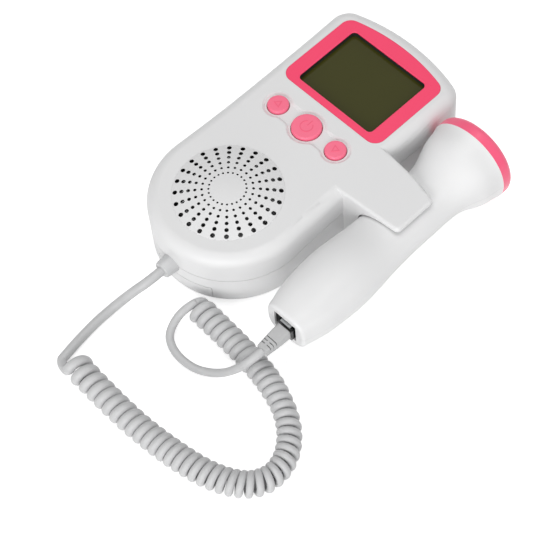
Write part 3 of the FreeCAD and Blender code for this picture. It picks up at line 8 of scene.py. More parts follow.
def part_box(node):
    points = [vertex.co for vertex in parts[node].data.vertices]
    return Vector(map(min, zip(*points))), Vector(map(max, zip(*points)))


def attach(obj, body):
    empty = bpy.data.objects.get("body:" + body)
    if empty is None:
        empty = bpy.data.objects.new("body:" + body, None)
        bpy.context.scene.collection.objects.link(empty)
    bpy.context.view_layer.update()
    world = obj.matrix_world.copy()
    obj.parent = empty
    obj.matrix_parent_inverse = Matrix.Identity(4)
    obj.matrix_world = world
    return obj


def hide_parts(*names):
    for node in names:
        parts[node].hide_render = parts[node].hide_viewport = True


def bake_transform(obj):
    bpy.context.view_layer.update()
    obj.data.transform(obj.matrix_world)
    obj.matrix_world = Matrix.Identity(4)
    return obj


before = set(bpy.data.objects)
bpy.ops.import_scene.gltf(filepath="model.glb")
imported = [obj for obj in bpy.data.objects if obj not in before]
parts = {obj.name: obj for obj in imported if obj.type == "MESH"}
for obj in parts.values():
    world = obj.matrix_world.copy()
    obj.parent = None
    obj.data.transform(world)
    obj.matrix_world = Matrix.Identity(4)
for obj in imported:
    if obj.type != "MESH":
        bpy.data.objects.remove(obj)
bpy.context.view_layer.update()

# ---- View -----------------------------------------------------------------------------------------
# The monitor lies on its back on a table and is looked down on from its lower right, with a long lens.

EYE = (0.32443, -0.24513, 0.63061)
LENS = 122.17                      # in mm on a film 36 mm wide
FILM_WIDTH = 36

azimuth = math.radians(51.06)
elevation = math.radians(58.47)
roll = math.radians(-6.08)
toward_eye = Vector((math.sin(azimuth) * math.cos(elevation),
                     -math.cos(azimuth) * math.cos(elevation), math.sin(elevation)))
level = Vector((math.cos(azimuth), math.sin(azimuth), 0))
upright = toward_eye.cross(level)
across = level * math.cos(roll) + upright * math.sin(roll)
upward = upright * math.cos(roll) - level * math.sin(roll)
lens = bpy.data.cameras.new("view")
lens.sensor_width = FILM_WIDTH
lens.lens = LENS
camera = bpy.data.objects.new("view", lens)
camera.matrix_world = Matrix.Translation(EYE) @ Matrix((across, upward, toward_eye)).transposed().to_4x4()
bpy.context.scene.collection.objects.link(camera)
bpy.context.scene.camera = camera

# ---- Curly cord -----------------------------------------------------------------------------------
# One extruded grey jacket over four thin wires.  Its middle was wound left-handed on a mandrel and
# baked, so it stays a tight coil; both ends are left as plain leads, one moulded into the gland in the
# case's round end, the other into the boot of the modular plug.

JACKET_SIDES = 16
JACKET_STEP = 0.0007               # between the rings of the jacket's mesh
EASED_REACH = 0.005                # how far from a join the cord bends smoothly
EASED_ROUNDS = 30
STEPS_PER_TURN = 60
LEAD_RADIUS = (0.00205, 0.00172)   # of the lead to the case and the lead to the plug
# Distances along the coil's route with what holds there, in metres: how far apart the turns lie, the
# radius over the winding, and the jacket's own radius, which is less where it was wound tightest
COIL_PITCH = ((0.0049, 0.0049), (0.0160, 0.0049), (0.0210, 0.0044), (0.0300, 0.0044),
              (0.0400, 0.00417), (0.0500, 0.00395), (0.0600, 0.00367), (0.0750, 0.00366),
              (0.0920, 0.00329), (0.1060, 0.00344), (0.1160, 0.00354), (0.1260, 0.0039),
              (0.1420, 0.0037), (0.1500, 0.00373), (0.1650, 0.00378), (0.1770, 0.0040), (0.1900, 0.0042))
COIL_OUTSIDE = ((0.0, 0.0062), (0.008, 0.0061), (0.013, 0.0058), (0.030, 0.0057), (0.045, 0.0056),
                (0.060, 0.0057), (0.080, 0.0056), (0.097, 0.0054), (0.104, 0.0051), (0.135, 0.0050),
                (0.145, 0.0054), (0.180, 0.0056), (0.190, 0.0058))
COIL_JACKET = ((0.0, 0.0022), (0.030, 0.0021), (0.050, 0.0019), (0.060, 0.00175), (0.075, 0.00168),
               (0.092, 0.00150), (0.106, 0.00155), (0.116, 0.00160), (0.126, 0.00172), (0.142, 0.00180),
               (0.190, 0.0019))
COIL_TURNS = 48
START_PHASE = math.radians(205)
END_PHASE = math.radians(135)
COIL_START = 0.0049                # along the coil's route, where the winding begins
COIL_END = 0.0007                  # before the route's end, where it stops
TABLE_GAP = 0.00005

lead_base_route = [
    (0.0, -0.0379, 0.0151), (0.0, -0.0446, 0.0151), (-0.0035, -0.05075, 0.0102),
    (-0.0071, -0.0562, 0.0039), (-0.0082, -0.0626, 0.0019), (-0.0076, -0.0715, 0.0019),
    (-0.0063, -0.0810, 0.0019), (-0.0053, -0.0864, 0.0019), (-0.0048, -0.0896, 0.0019),
    (-0.0016, -0.0908, 0.0021), (0.0016, -0.0906, 0.0030),
]
coil_route = [
    (-0.0022, -0.0870, 0.00565), (0.0290, -0.0888, 0.00565), (0.0580, -0.0867, 0.00565),
    (0.0789, -0.0820, 0.00565), (0.0914, -0.0726, 0.00565), (0.0916, -0.0588, 0.00565),
    (0.0811, -0.0462, 0.00565), (0.0635, -0.0392, 0.00565), (0.0418, -0.0367, 0.00565),
    (0.0170, -0.0362, 0.00565),
]
lead_probe_route = [
    (0.0178, -0.0336, 0.0084), (0.0169, -0.0366, 0.0098), (0.0163, -0.0404, 0.0084),
    (0.0154, -0.0452, 0.0056), (0.0169, -0.0510, 0.0027), (0.0212, -0.0541, 0.0019),
    (0.0282, -0.0556, 0.0019), (0.0368, -0.0545, 0.0019), (0.0453, -0.0502, 0.0042),
    (0.0523, -0.0467, 0.0124), (0.056765, -0.041870, 0.0198), (0.056686, -0.036871, 0.0198),
]


def route_line(route):
    """The smooth line of a cord: a NURBS spline with the route's points as its control points."""
    curve = bpy.data.curves.new("route", "CURVE")
    curve.dimensions = "3D"
    curve.resolution_u = 24
    spline = curve.splines.new("NURBS")
    spline.points.add(len(route) - 1)
    for point, place in zip(spline.points, route):
        point.co = (*place, 1)
    spline.order_u = 3
    spline.use_endpoint_u = True
    holder = bpy.data.objects.new("route", curve)
    bpy.context.scene.collection.objects.link(holder)
    bpy.context.view_layer.update()
    mesh = bpy.data.meshes.new_from_object(holder.evaluated_get(bpy.context.evaluated_depsgraph_get()))
    line = np.array([vertex.co for vertex in mesh.vertices])
    bpy.data.objects.remove(holder)
    bpy.data.meshes.remove(mesh)
    return line


def stations(line):
    """The distance along a line of each of its points."""
    return np.concatenate([[0], np.cumsum(np.linalg.norm(np.diff(line[:, :3], axis=0), axis=1))])


def spaced(line, step):
    """The same line with points a step apart."""
    along = stations(line)
    places = np.linspace(0, along[-1], max(2, round(along[-1] / step)))
    return np.stack([np.interp(places, along, column) for column in line.T], axis=1)


def read_along(table, places):
    """What a table of (distance, value) says at places along the coil."""
    distances, values = np.array(table).T
    return np.interp(places, distances, values)


def jacketed(line, radius):
    """The points of a line, each with the jacket's radius there."""
    return np.column_stack([line, np.broadcast_to(radius, len(line))])


def wound(line):
    """The left-handed winding about the coil's own line; each turn rests on the table."""
    along = stations(line)
    place = np.linspace(COIL_START, along[-1] - COIL_END, STEPS_PER_TURN * COIL_TURNS)
    density = 1 / read_along(COIL_PITCH, place)
    turn = np.concatenate([[0], np.cumsum((density[1:] + density[:-1]) / 2 * np.diff(place))])
    turn *= (COIL_TURNS + (START_PHASE - END_PHASE) / (2 * math.pi)) / turn[-1]
    outside = read_along(COIL_OUTSIDE, place)
    jacket = read_along(COIL_JACKET, place)
    centre = np.stack([np.interp(place, along, line[:, 0]), np.interp(place, along, line[:, 1]),
                       outside + TABLE_GAP], axis=1)
    ahead = np.gradient(centre, axis=0)
    ahead /= np.linalg.norm(ahead, axis=1)[:, None]
    aside = np.cross((0, 0, 1), ahead)
    phase = (START_PHASE - 2 * math.pi * turn)[:, None]
    reach = (outside - jacket)[:, None]
    return jacketed(centre + reach * (np.cos(phase) * aside + np.sin(phase) * np.array((0, 0, 1))), jacket)


def eased(line, joins, reach, rounds):
    """Smooths a line about its joins, as a limp cord does by itself."""
    along = stations(line)
    weight = sum(np.clip(1.5 - abs(along - join) / reach, 0, 1) for join in joins)[1:-1, None]
    for _ in range(rounds):
        line[1:-1] += weight * ((line[:-2] + line[2:]) / 2 - line[1:-1])
    return line


def tube(name, line, sides):
    """A closed round tube along a line of places and radii; its UV map runs along and round it."""
    ahead = np.gradient(line[:, :3], axis=0)
    ahead /= np.linalg.norm(ahead, axis=1)[:, None]
    turn = np.linspace(0, 2 * math.pi, sides, endpoint=False)[:, None]
    first = np.cross(ahead[0], (0.3, 0.2, 1))
    rings = []
    for point, direction in zip(line, ahead):
        first = first - direction * np.dot(first, direction)
        first /= np.linalg.norm(first)
        second = np.cross(direction, first)
        rings.append(point[:3] + point[3] * (np.cos(turn) * first + np.sin(turn) * second))
    last = (len(line) - 1) * sides
    faces = [(i * sides + j, i * sides + (j + 1) % sides, (i + 1) * sides + (j + 1) % sides,
              (i + 1) * sides + j) for i in range(len(line) - 1) for j in range(sides)]
    faces.append(tuple(range(sides - 1, -1, -1)))
    faces.append(tuple(range(last, last + sides)))
    mesh = bpy.data.meshes.new(name)
    mesh.from_pydata(np.concatenate(rings).tolist(), [], faces)
    along = stations(line)
    corners = [(along[i + di], (j + dj) / sides) for i in range(len(line) - 1) for j in range(sides)
               for di, dj in ((0, 0), (0, 1), (1, 1), (1, 0))]
    corners += [(0.0, 0.0)] * (2 * sides)
    mesh.uv_layers.new(name="UVMap").data.foreach_set("uv", np.array(corners, np.float32).ravel())
    mesh.shade_smooth()
    mesh.set_sharp_from_angle(angle=math.radians(60))
    piece = bpy.data.objects.new(name, mesh)
    bpy.context.scene.collection.objects.link(piece)
    return piece


class Socket:
    """A socket of a material's nodes that can be written in sums and products."""

    def __init__(self, tree, output):
        self.tree = tree
        self.output = output

    def worked(self, operation, *values):
        node = self.tree.nodes.new("ShaderNodeMath")
        node.operation = operation
        for place, value in zip(node.inputs, values):
            if isinstance(value, Socket):
                self.tree.links.new(value.output, place)
            else:
                place.default_value = value
        return Socket(self.tree, node.outputs[0])

    def __add__(self, other):
        return self.worked("ADD", self, other)

    def __sub__(self, other):
        return self.worked("SUBTRACT", self, other)

    def __rsub__(self, other):
        return self.worked("SUBTRACT", other, self)

    def __mul__(self, other):
        return self.worked("MULTIPLY", self, other)

    __radd__ = __add__
    __rmul__ = __mul__


class Finish:
    """A surface finish: one shader with its fixed values, and the nodes that vary the others."""

    def __init__(self, name, **fixed):
        self.material = bpy.data.materials.new(name)
        self.material.use_nodes = True
        self.tree = self.material.node_tree
        self.shader = self.tree.nodes["Principled BSDF"]
        for socket, value in fixed.items():
            self.shader.inputs[socket.replace("_", " ")].default_value = value

    def node(self, kind, settings, inputs, output=0):
        """Adds a node: first its settings, then the values or links of its sockets."""
        node = self.tree.nodes.new("ShaderNode" + kind)
        for name, value in settings.items():
            setattr(node, name, value)
        for name, value in inputs.items():
            self.put(node.inputs[name], value)
        return Socket(self.tree, node.outputs[output])

    def put(self, place, value):
        if isinstance(value, Socket):
            self.tree.links.new(value.output, place)
        else:
            place.default_value = value

    def feed(self, socket, value):
        self.put(self.shader.inputs[socket], value)

    def place(self):
        return self.node("TexCoord", {}, {}, "Object")

    def axes(self, where, names="XYZ"):
        """The named coordinates of a place, each on its own."""
        return [self.node("SeparateXYZ", {}, {"Vector": where}, name) for name in names]

    def noise(self, where, size, detail=2.0):
        """Soft irregular blotches of about a given size in metres."""
        return self.node("TexNoise", {}, {"Vector": where, "Scale": 1 / size, "Detail": detail}, "Fac")

    def mix(self, share, first, second):
        return self.node("Mix", {"data_type": "RGBA"}, {0: share, 6: first, 7: second}, 2)

    def ramp(self, value, low, high):
        """0 below low and 1 above high, with a soft step between."""
        return self.node("MapRange", {"interpolation_type": "SMOOTHSTEP"},
                         {"Value": value, "From Min": low, "From Max": high})

    def relief(self, height, depth, strength=1.0):
        """Raises the surface by a height from 0 to 1 times a depth in metres."""
        self.feed("Normal", self.node("Bump", {}, {"Strength": strength, "Distance": depth,
                                                   "Height": height}))


def wear(finish, *pieces):
    """Gives pieces or the frame's own parts a finish."""
    for piece in pieces:
        piece = parts[piece] if isinstance(piece, str) else piece
        if not piece.material_slots:
            piece.data.materials.append(finish.material)
        for place in piece.material_slots:
            place.material = finish.material


cord_jacket = Finish("cord_jacket", Specular_IOR_Level=0.42, Sheen_Weight=0.08, Sheen_Roughness=0.5)
where = cord_jacket.place()
lengthwise, round_it = cord_jacket.axes(cord_jacket.node("UVMap", {}, {}), "XY")
dust = cord_jacket.noise(where, 0.006, 3)
pores = cord_jacket.noise(where, 0.00028, 2)
stretched = cord_jacket.node("CombineXYZ", {}, {"X": lengthwise * 60, "Y": round_it * 34})
drawn = cord_jacket.noise(stretched, 1, 2)
cord_jacket.feed("Base Color", cord_jacket.mix(0.65 * dust + 0.35 * drawn, (0.50, 0.502, 0.507, 1),
                                               (0.60, 0.602, 0.607, 1)))
cord_jacket.feed("Roughness", 0.40 + 0.14 * dust)
cord_jacket.relief(0.5 * pores + 0.5 * drawn, 0.00002, 0.6)

lead_base_line = jacketed(route_line(lead_base_route), LEAD_RADIUS[0])
lead_probe_line = jacketed(route_line(lead_probe_route), LEAD_RADIUS[1])
whole = np.concatenate([lead_base_line, wound(route_line(coil_route)), lead_probe_line])
base_join = stations(lead_base_line)[-1]
probe_join = stations(whole)[-1] - stations(lead_probe_line)[-1]
whole = spaced(whole, JACKET_STEP)
split = int(np.searchsorted(stations(whole), probe_join))
whole = eased(whole, (base_join, probe_join), EASED_REACH, EASED_ROUNDS)
whole[:, 2] = np.maximum(whole[:, 2], whole[:, 3] + TABLE_GAP)
curly_line = whole[:split + 1]
probe_line = whole[split:]

curly_cord = tube("curly_cord", curly_line, JACKET_SIDES)
probe_lead = tube("probe_lead", probe_line, JACKET_SIDES)
for piece in (curly_cord, probe_lead):
    wear(cord_jacket, piece)
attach(curly_cord, "base_unit")
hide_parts("cord_lead_base", "cord_coil")
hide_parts("cord_lead_probe")
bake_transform(probe_lead)

# The gland and the plug's boot are moulded over the cord from slightly harder grades of the same grey.
GREY_GRADES = (
    ("gland_grey", "cord_gland", (0.53, 0.533, 0.538, 1), (0.62, 0.623, 0.628, 1)),
    ("boot_grey", "plug_boot", (0.455, 0.457, 0.460, 1), (0.535, 0.537, 0.540, 1)),
)
for name, piece, dark, light in GREY_GRADES:
    moulded_grey = Finish(name, Specular_IOR_Level=0.45)
    where = moulded_grey.place()
    cloud = moulded_grey.noise(where, 0.004, 3)
    moulded_grey.feed("Base Color", moulded_grey.mix(cloud, dark, light))
    moulded_grey.feed("Roughness", 0.38 + 0.14 * moulded_grey.noise(where, 0.0011))
    moulded_grey.relief(moulded_grey.noise(where, 0.00025), 0.000015, 0.6)
    wear(moulded_grey, piece)

# ---- Case -----------------------------------------------------------------------------------------
# Front and back shell are injection-moulded ABS with a fine spark-eroded grain, off-white and satin.
# They meet at a fine groove; the battery door is moulded in the same plastic.


def moulded(name, colour, grain=0.00034, depth=0.00001, roughness=0.40):
    """Moulded ABS: flow clouds a few centimetres wide, a fine even grain, faint handling marks."""
    finish = Finish(name, Specular_IOR_Level=0.5)
    where = finish.place()
    flow = finish.noise(where, 0.03, 2)
    speck = finish.noise(where, grain, 2)
    rubbed = finish.ramp(finish.noise(where, 0.009, 4), 0.5, 0.72)
    tone = finish.mix(0.7 * flow + 0.3 * speck, tuple(0.965 * c for c in colour) + (1,), colour + (1,))
    finish.feed("Base Color", tone)
    finish.feed("Roughness", roughness + 0.10 * speck - 0.06 * rubbed)
    finish.relief(speck, depth, 0.5)
    return finish


case_plastic = moulded("case_plastic", (0.785, 0.785, 0.788))
wear(case_plastic, "front_case", "back_case", "battery_door")

# ---- Screws ---------------------------------------------------------------------------------------
# Pan-head self-tapping screws of nickel-plated steel, their heads turned and their recesses punched.

SCREW_TURNING = 0.00012

screw_steel = Finish("screw_steel", Metallic=1.0)
where = screw_steel.place()
stain = screw_steel.noise(where, 0.0016, 3)
turning = screw_steel.noise(screw_steel.node("Mapping", {}, {"Vector": where, "Scale": (1, 1, 9)}),
                            SCREW_TURNING, 2)
screw_steel.feed("Base Color", screw_steel.mix(stain, (0.46, 0.45, 0.44, 1), (0.66, 0.65, 0.63, 1)))
screw_steel.feed("Roughness", 0.24 + 0.22 * stain)
screw_steel.relief(turning, 0.00001, 0.5)
wear(screw_steel, "case_screws", "board_screws", "probe_screws")

# ---- Batteries ------------------------------------------------------------------------------------
# Two AA cells in a plain shrunk sleeve that leaves their steel ends bare, held between nickel-plated
# contact plates and coil springs.

CELL_AXIS_X = 0.00735
CELL_AXIS_Z = 0.0091
SLEEVE_HIGH_Y = 0.0242
SLEEVE_RADIUS = 0.0064
BAND_WIDTH = 0.0131         # of the sleeve's silver band, at its upper end

cell_sleeve = Finish("cell_sleeve", Specular_IOR_Level=0.5)
where = cell_sleeve.place()
x, y, z = cell_sleeve.axes(where)
off_axis = cell_sleeve.node("VectorMath", {"operation": "LENGTH"}, {
    0: cell_sleeve.node("CombineXYZ", {}, {"X": x.worked("ABSOLUTE", x) - CELL_AXIS_X,
                                           "Y": z - CELL_AXIS_Z})}, "Value")
sleeved = cell_sleeve.ramp(off_axis, SLEEVE_RADIUS - 0.0001, SLEEVE_RADIUS)
lengthened = cell_sleeve.node("Mapping", {}, {"Vector": where, "Scale": (1, 0.2, 1)})
scuffs = cell_sleeve.noise(lengthened, 0.0009, 3)
band = cell_sleeve.ramp(y, SLEEVE_HIGH_Y - BAND_WIDTH - 0.0001, SLEEVE_HIGH_Y - BAND_WIDTH + 0.0001)
jacket = cell_sleeve.mix(band, (0.035, 0.05, 0.075, 1), (0.42, 0.43, 0.44, 1))
cell_sleeve.feed("Base Color", cell_sleeve.mix(sleeved, (0.62, 0.61, 0.59, 1), jacket))
cell_sleeve.feed("Metallic", 1 - sleeved)
cell_sleeve.feed("Roughness", 0.22 + 0.2 * scuffs)
cell_sleeve.relief(scuffs, 0.00001, 0.5)
wear(cell_sleeve, "battery_left", "battery_right")

contact_nickel = Finish("contact_nickel", Metallic=1.0)
where = contact_nickel.place()
rolled = contact_nickel.noise(contact_nickel.node("Mapping", {}, {"Vector": where, "Scale": (0.1, 1, 1)}),
                              0.0002, 3)
tarnish = contact_nickel.noise(where, 0.003, 3)
contact_nickel.feed("Base Color", contact_nickel.mix(tarnish, (0.55, 0.54, 0.50, 1), (0.72, 0.71, 0.68, 1)))
contact_nickel.feed("Roughness", 0.22 + 0.18 * rolled)
contact_nickel.relief(rolled, 0.000006, 0.6)
wear(contact_nickel, "battery_springs", "battery_plates")

# ---- Loudspeaker ----------------------------------------------------------------------------------
# A domed grille of the case's plastic, its holes painted dark inside as shade and lighter toward the
# probe's side as light, over black cloth painted lighter toward the probe's side as light, and a 40 mm
# loudspeaker: a pressed steel frame, a paper cone and a ferrite magnet.

CLOTH_RADIUS = 0.0224
CLOTH_HEIGHT = (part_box("grille_mesh")[0][2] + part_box("grille_mesh")[1][2]) / 2
THREAD_PITCH = 0.00075
THREAD_RADIUS = 0.00007
THREAD_WAVE = 0.00005
CONE_RIB_PITCH = 0.0016
DOME_RADIUS = 0.089
DOME_CENTRE = (0, 0, -0.05598)
DRILLED_RADIUS = 0.0222
HOLE_EDGE = 0.00012         # how far the white plastic reaches into a hole before the painted shade of its wall
PAINTED_LIGHT_SPAN = 0.014          # along X on either side of the middle, where the holes' painted shade turns to painted light

grille_plastic = moulded("grille_plastic", (0.77, 0.77, 0.773), roughness=0.42)
where = grille_plastic.place()
x, y = grille_plastic.axes(where, "XY")
depth = DOME_RADIUS - grille_plastic.node("VectorMath", {"operation": "DISTANCE"}, {
    0: where, 1: DOME_CENTRE}, "Value")
from_axis = grille_plastic.node("VectorMath", {"operation": "LENGTH"}, {
    0: grille_plastic.node("CombineXYZ", {}, {"X": x, "Y": y})}, "Value")
# Inside the holes the plastic is painted near-black as shade, and painted lighter toward +X as light falling
# in.
hole_shade_mask = grille_plastic.ramp(depth, HOLE_EDGE / 2, HOLE_EDGE) * (
    1 - grille_plastic.ramp(from_axis, DRILLED_RADIUS - HOLE_EDGE, DRILLED_RADIUS))
painted_light_side = grille_plastic.ramp(x, -PAINTED_LIGHT_SPAN, PAINTED_LIGHT_SPAN)
hole_shade_and_light = grille_plastic.mix(painted_light_side, (0.008, 0.008, 0.008, 1), (0.075, 0.075, 0.075, 1))
moulded_tone = Socket(grille_plastic.tree, grille_plastic.shader.inputs["Base Color"].links[0].from_socket)
grille_plastic.feed("Base Color", grille_plastic.mix(hole_shade_mask, moulded_tone, hole_shade_and_light))
wear(grille_plastic, "speaker_grille")

cloth_black = Finish("cloth_black", Specular_IOR_Level=0.2, Sheen_Weight=0.25, Sheen_Roughness=0.4)
where = cloth_black.place()
[x] = cloth_black.axes(where, "X")
fuzz = cloth_black.noise(where, 0.0002, 3)
# Painted light: the black cloth turns grey toward +X, where light falls on it through the holes.
painted_light_cloth = cloth_black.ramp(x, -PAINTED_LIGHT_SPAN, PAINTED_LIGHT_SPAN)
black = cloth_black.mix(fuzz, (0.004, 0.004, 0.004, 1), (0.016, 0.016, 0.017, 1))
cloth_black.feed("Base Color", cloth_black.mix(painted_light_cloth, black, (0.16, 0.16, 0.162, 1)))
cloth_black.feed("Roughness", 0.75 + 0.2 * fuzz)
cloth_black.relief(fuzz, 0.00001)


def weave_nodes(material):
    """Threads along X and Y that pass over and under each other, cut to a round piece of cloth."""
    tree = bpy.data.node_groups.new("weave", "GeometryNodeTree")
    for name in ("Pitch", "Thread Radius", "Wave", "Cloth Radius", "Height"):
        tree.interface.new_socket(name, in_out="INPUT", socket_type="NodeSocketFloat")
    tree.interface.new_socket("Cloth", in_out="OUTPUT", socket_type="NodeSocketGeometry")
    given = tree.nodes.new("NodeGroupInput")

    def node(kind, settings, inputs, output=0):
        made = tree.nodes.new(kind)
        for name, value in settings.items():
            setattr(made, name, value)
        for name, value in inputs.items():
            if isinstance(value, bpy.types.NodeSocket):
                tree.links.new(value, made.inputs[name])
            else:
                made.inputs[name].default_value = value
        return made.outputs[output]

    def maths(operation, first, second=0.0):
        return node("ShaderNodeMath", {"operation": operation}, {0: first, 1: second})

    pitch, thread, wave, radius, height = (given.outputs[i] for i in range(5))
    here = tree.nodes.new("GeometryNodeInputPosition").outputs[0]
    count = maths("FLOOR", maths("DIVIDE", maths("MULTIPLY", radius, 2.0), pitch))
    low = maths("MULTIPLY", maths("FLOOR", maths("DIVIDE", radius, pitch)), maths("MULTIPLY", pitch, -1.0))
    joined = tree.nodes.new("GeometryNodeJoinGeometry")
    for along, side in (((1, 0, 0), (0, 1, 0)), ((0, 1, 0), (1, 0, 0))):
        def scaled(vector, share):
            return node("ShaderNodeVectorMath", {"operation": "SCALE"}, {0: vector, "Scale": share})

        rows = node("GeometryNodeMeshLine", {}, {"Count": count, "Start Location": scaled(side, low),
                                                 "Offset": scaled(side, pitch)})
        off = node("ShaderNodeVectorMath", {"operation": "DOT_PRODUCT"}, {0: here, 1: side}, "Value")
        chord = maths("SQRT", maths("MAXIMUM", maths("SUBTRACT", maths("MULTIPLY", radius, radius),
                                                     maths("MULTIPLY", off, off)), 1e-8))
        stick = node("GeometryNodeCurvePrimitiveLine", {}, {"Start": scaled(along, -1.0), "End": along})
        placed = node("GeometryNodeInstanceOnPoints", {}, {"Points": rows, "Instance": stick,
                                                           "Scale": chord})
        threads = node("GeometryNodeRealizeInstances", {}, {"Geometry": placed})
        threads = node("GeometryNodeResampleCurve", {"mode": "LENGTH"},
                       {"Curve": threads, "Length": maths("MULTIPLY", pitch, 0.5)})
        split_here = tree.nodes.new("ShaderNodeSeparateXYZ")
        tree.links.new(here, split_here.inputs[0])
        waves = [maths("COSINE", maths("MULTIPLY", maths("DIVIDE", split_here.outputs[i], pitch), math.pi))
                 for i in (0, 1)]
        sign = 1.0 if along[0] else -1.0
        lift = maths("ADD", height, maths("MULTIPLY", maths("MULTIPLY", waves[0], waves[1]),
                                          maths("MULTIPLY", wave, sign)))
        offset = node("ShaderNodeCombineXYZ", {}, {"Z": lift})
        threads = node("GeometryNodeSetPosition", {}, {"Geometry": threads, "Offset": offset})
        ring = node("GeometryNodeCurvePrimitiveCircle", {}, {"Resolution": 4, "Radius": thread})
        threads = node("GeometryNodeCurveToMesh", {}, {"Curve": threads, "Profile Curve": ring,
                                                       "Fill Caps": True})
        tree.links.new(threads, joined.inputs[0])
    whole_cloth = node("GeometryNodeRealizeInstances", {}, {"Geometry": joined.outputs[0]})
    coloured = node("GeometryNodeSetMaterial", {}, {"Geometry": whole_cloth, "Material": material})
    tree.links.new(coloured, tree.nodes.new("NodeGroupOutput").inputs[0])
    return tree


def grown(name, tree, sizes):
    """Runs a tree of Geometry Nodes once and keeps its result as a plain mesh."""
    holder = bpy.data.objects.new(name, bpy.data.meshes.new(name + "_seed"))
    bpy.context.scene.collection.objects.link(holder)
    modifier = holder.modifiers.new(name, "NODES")
    modifier.node_group = tree
    for socket in tree.interface.items_tree:
        if socket.in_out == "INPUT":
            modifier[socket.identifier] = sizes[socket.name]
    bpy.context.view_layer.update()
    mesh = bpy.data.meshes.new_from_object(holder.evaluated_get(bpy.context.evaluated_depsgraph_get()))
    holder.modifiers.clear()
    holder.data = mesh
    return holder


grille_cloth = grown("grille_cloth", weave_nodes(cloth_black.material), {
    "Pitch": THREAD_PITCH, "Thread Radius": THREAD_RADIUS, "Wave": THREAD_WAVE,
    "Cloth Radius": CLOTH_RADIUS, "Height": CLOTH_HEIGHT})
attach(grille_cloth, "base_unit")
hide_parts("grille_mesh")

frame_steel = Finish("frame_steel", Metallic=1.0)
where = frame_steel.place()
spangle = frame_steel.node("TexVoronoi", {}, {"Vector": where, "Scale": 450.0}, "Color")
frame_steel.feed("Base Color", frame_steel.mix(spangle, (0.40, 0.40, 0.41, 1), (0.56, 0.56, 0.58, 1)))
frame_steel.feed("Roughness", 0.32 + 0.16 * frame_steel.noise(where, 0.0012, 3))
frame_steel.relief(frame_steel.noise(where, 0.0004, 3), 0.00001)
wear(frame_steel, "speaker_frame")

cone_paper = Finish("cone_paper", Specular_IOR_Level=0.2)
where = cone_paper.place()
pulp = cone_paper.noise(where, 0.0009, 5)
from_axis = cone_paper.node("VectorMath", {"operation": "LENGTH"}, {
    0: cone_paper.node("VectorMath", {"operation": "MULTIPLY"}, {0: where, 1: (1, 1, 0)})}, "Value")
ribs = from_axis.worked("SINE", from_axis * (2 * math.pi / CONE_RIB_PITCH)) * 0.5 + 0.5
cone_paper.feed("Base Color", cone_paper.mix(pulp, (0.012, 0.012, 0.012, 1), (0.035, 0.034, 0.033, 1)))
cone_paper.feed("Roughness", 0.8 + 0.15 * pulp)
cone_paper.relief(0.6 * ribs + 0.4 * pulp, 0.0001)
wear(cone_paper, "speaker_cone")

ferrite = Finish("ferrite", Specular_IOR_Level=0.4)
where = ferrite.place()
grains = ferrite.noise(where, 0.0005, 4)
ferrite.feed("Base Color", ferrite.mix(grains, (0.03, 0.03, 0.032, 1), (0.07, 0.07, 0.074, 1)))
ferrite.feed("Roughness", 0.5 + 0.25 * grains)
ferrite.relief(grains, 0.00003)
wear(ferrite, "speaker_magnet")

# ---- Display --------------------------------------------------------------------------------------
# A glossy pink bezel lies flush in the face.  Its collar is black inside below its soft top edge, down
# to a smoked clear window; behind that are a liquid crystal panel and a white light guide.

DOT_PITCH = 0.00042
BLACK_TOP = 0.0296          # below this height the collar is black, under the bezel's soft edge
BLACK_EDGE = 0.00005

bezel_pink = Finish("bezel_pink", Specular_IOR_Level=0.5, Coat_Weight=0.15, Coat_Roughness=0.15)
where = bezel_pink.place()
[z] = bezel_pink.axes(where, "Z")
pigment = bezel_pink.noise(where, 0.02, 3)
peel = bezel_pink.noise(where, 0.0018, 2)
pink = bezel_pink.mix(pigment, (0.95, 0.040, 0.135, 1), (1.0, 0.048, 0.155, 1))
# The collar's inner wall is black below BLACK_TOP.
black_inside = 1 - bezel_pink.ramp(z, BLACK_TOP - BLACK_EDGE, BLACK_TOP + BLACK_EDGE)
bezel_pink.feed("Base Color", bezel_pink.mix(black_inside, pink, (0.004, 0.006, 0.004, 1)))
bezel_pink.feed("Roughness", 0.26 + 0.06 * peel + 0.4 * black_inside)
bezel_pink.relief(peel, 0.000006, 0.3)
wear(bezel_pink, "lcd_bezel")

window_smoke = Finish("window_smoke", Specular_IOR_Level=0.18)
where = window_smoke.place()
x, y = window_smoke.axes(where, "XY")
dots = (x.worked("SINE", x * (2 * math.pi / DOT_PITCH)) * 0.5 + 0.5) * (
    y.worked("SINE", y * (2 * math.pi / DOT_PITCH)) * 0.5 + 0.5)
depth_tint = window_smoke.noise(where, 0.03, 2)
olive = window_smoke.mix(depth_tint, (0.046, 0.046, 0.007, 1), (0.055, 0.054, 0.010, 1))
window_smoke.feed("Base Color", window_smoke.mix(0.10 * dots, olive, (0.030, 0.030, 0.005, 1)))
window_smoke.feed("Roughness", 0.10 + 0.05 * window_smoke.noise(where, 0.004, 3))
window_smoke.relief(window_smoke.noise(where, 0.006, 2), 0.000004, 0.3)
wear(window_smoke, "lcd_window")

panel_glass = Finish("panel_glass", Specular_IOR_Level=0.5)
where = panel_glass.place()
[y] = panel_glass.axes(where, "Y")
lines = y.worked("SINE", y * (2 * math.pi / DOT_PITCH)) * 0.5 + 0.5
panel_glass.feed("Base Color", panel_glass.mix(0.5 * lines, (0.09, 0.095, 0.06, 1), (0.12, 0.125, 0.08, 1)))
panel_glass.feed("Roughness", 0.12 + 0.08 * panel_glass.noise(where, 0.004, 3))
wear(panel_glass, "lcd_panel")

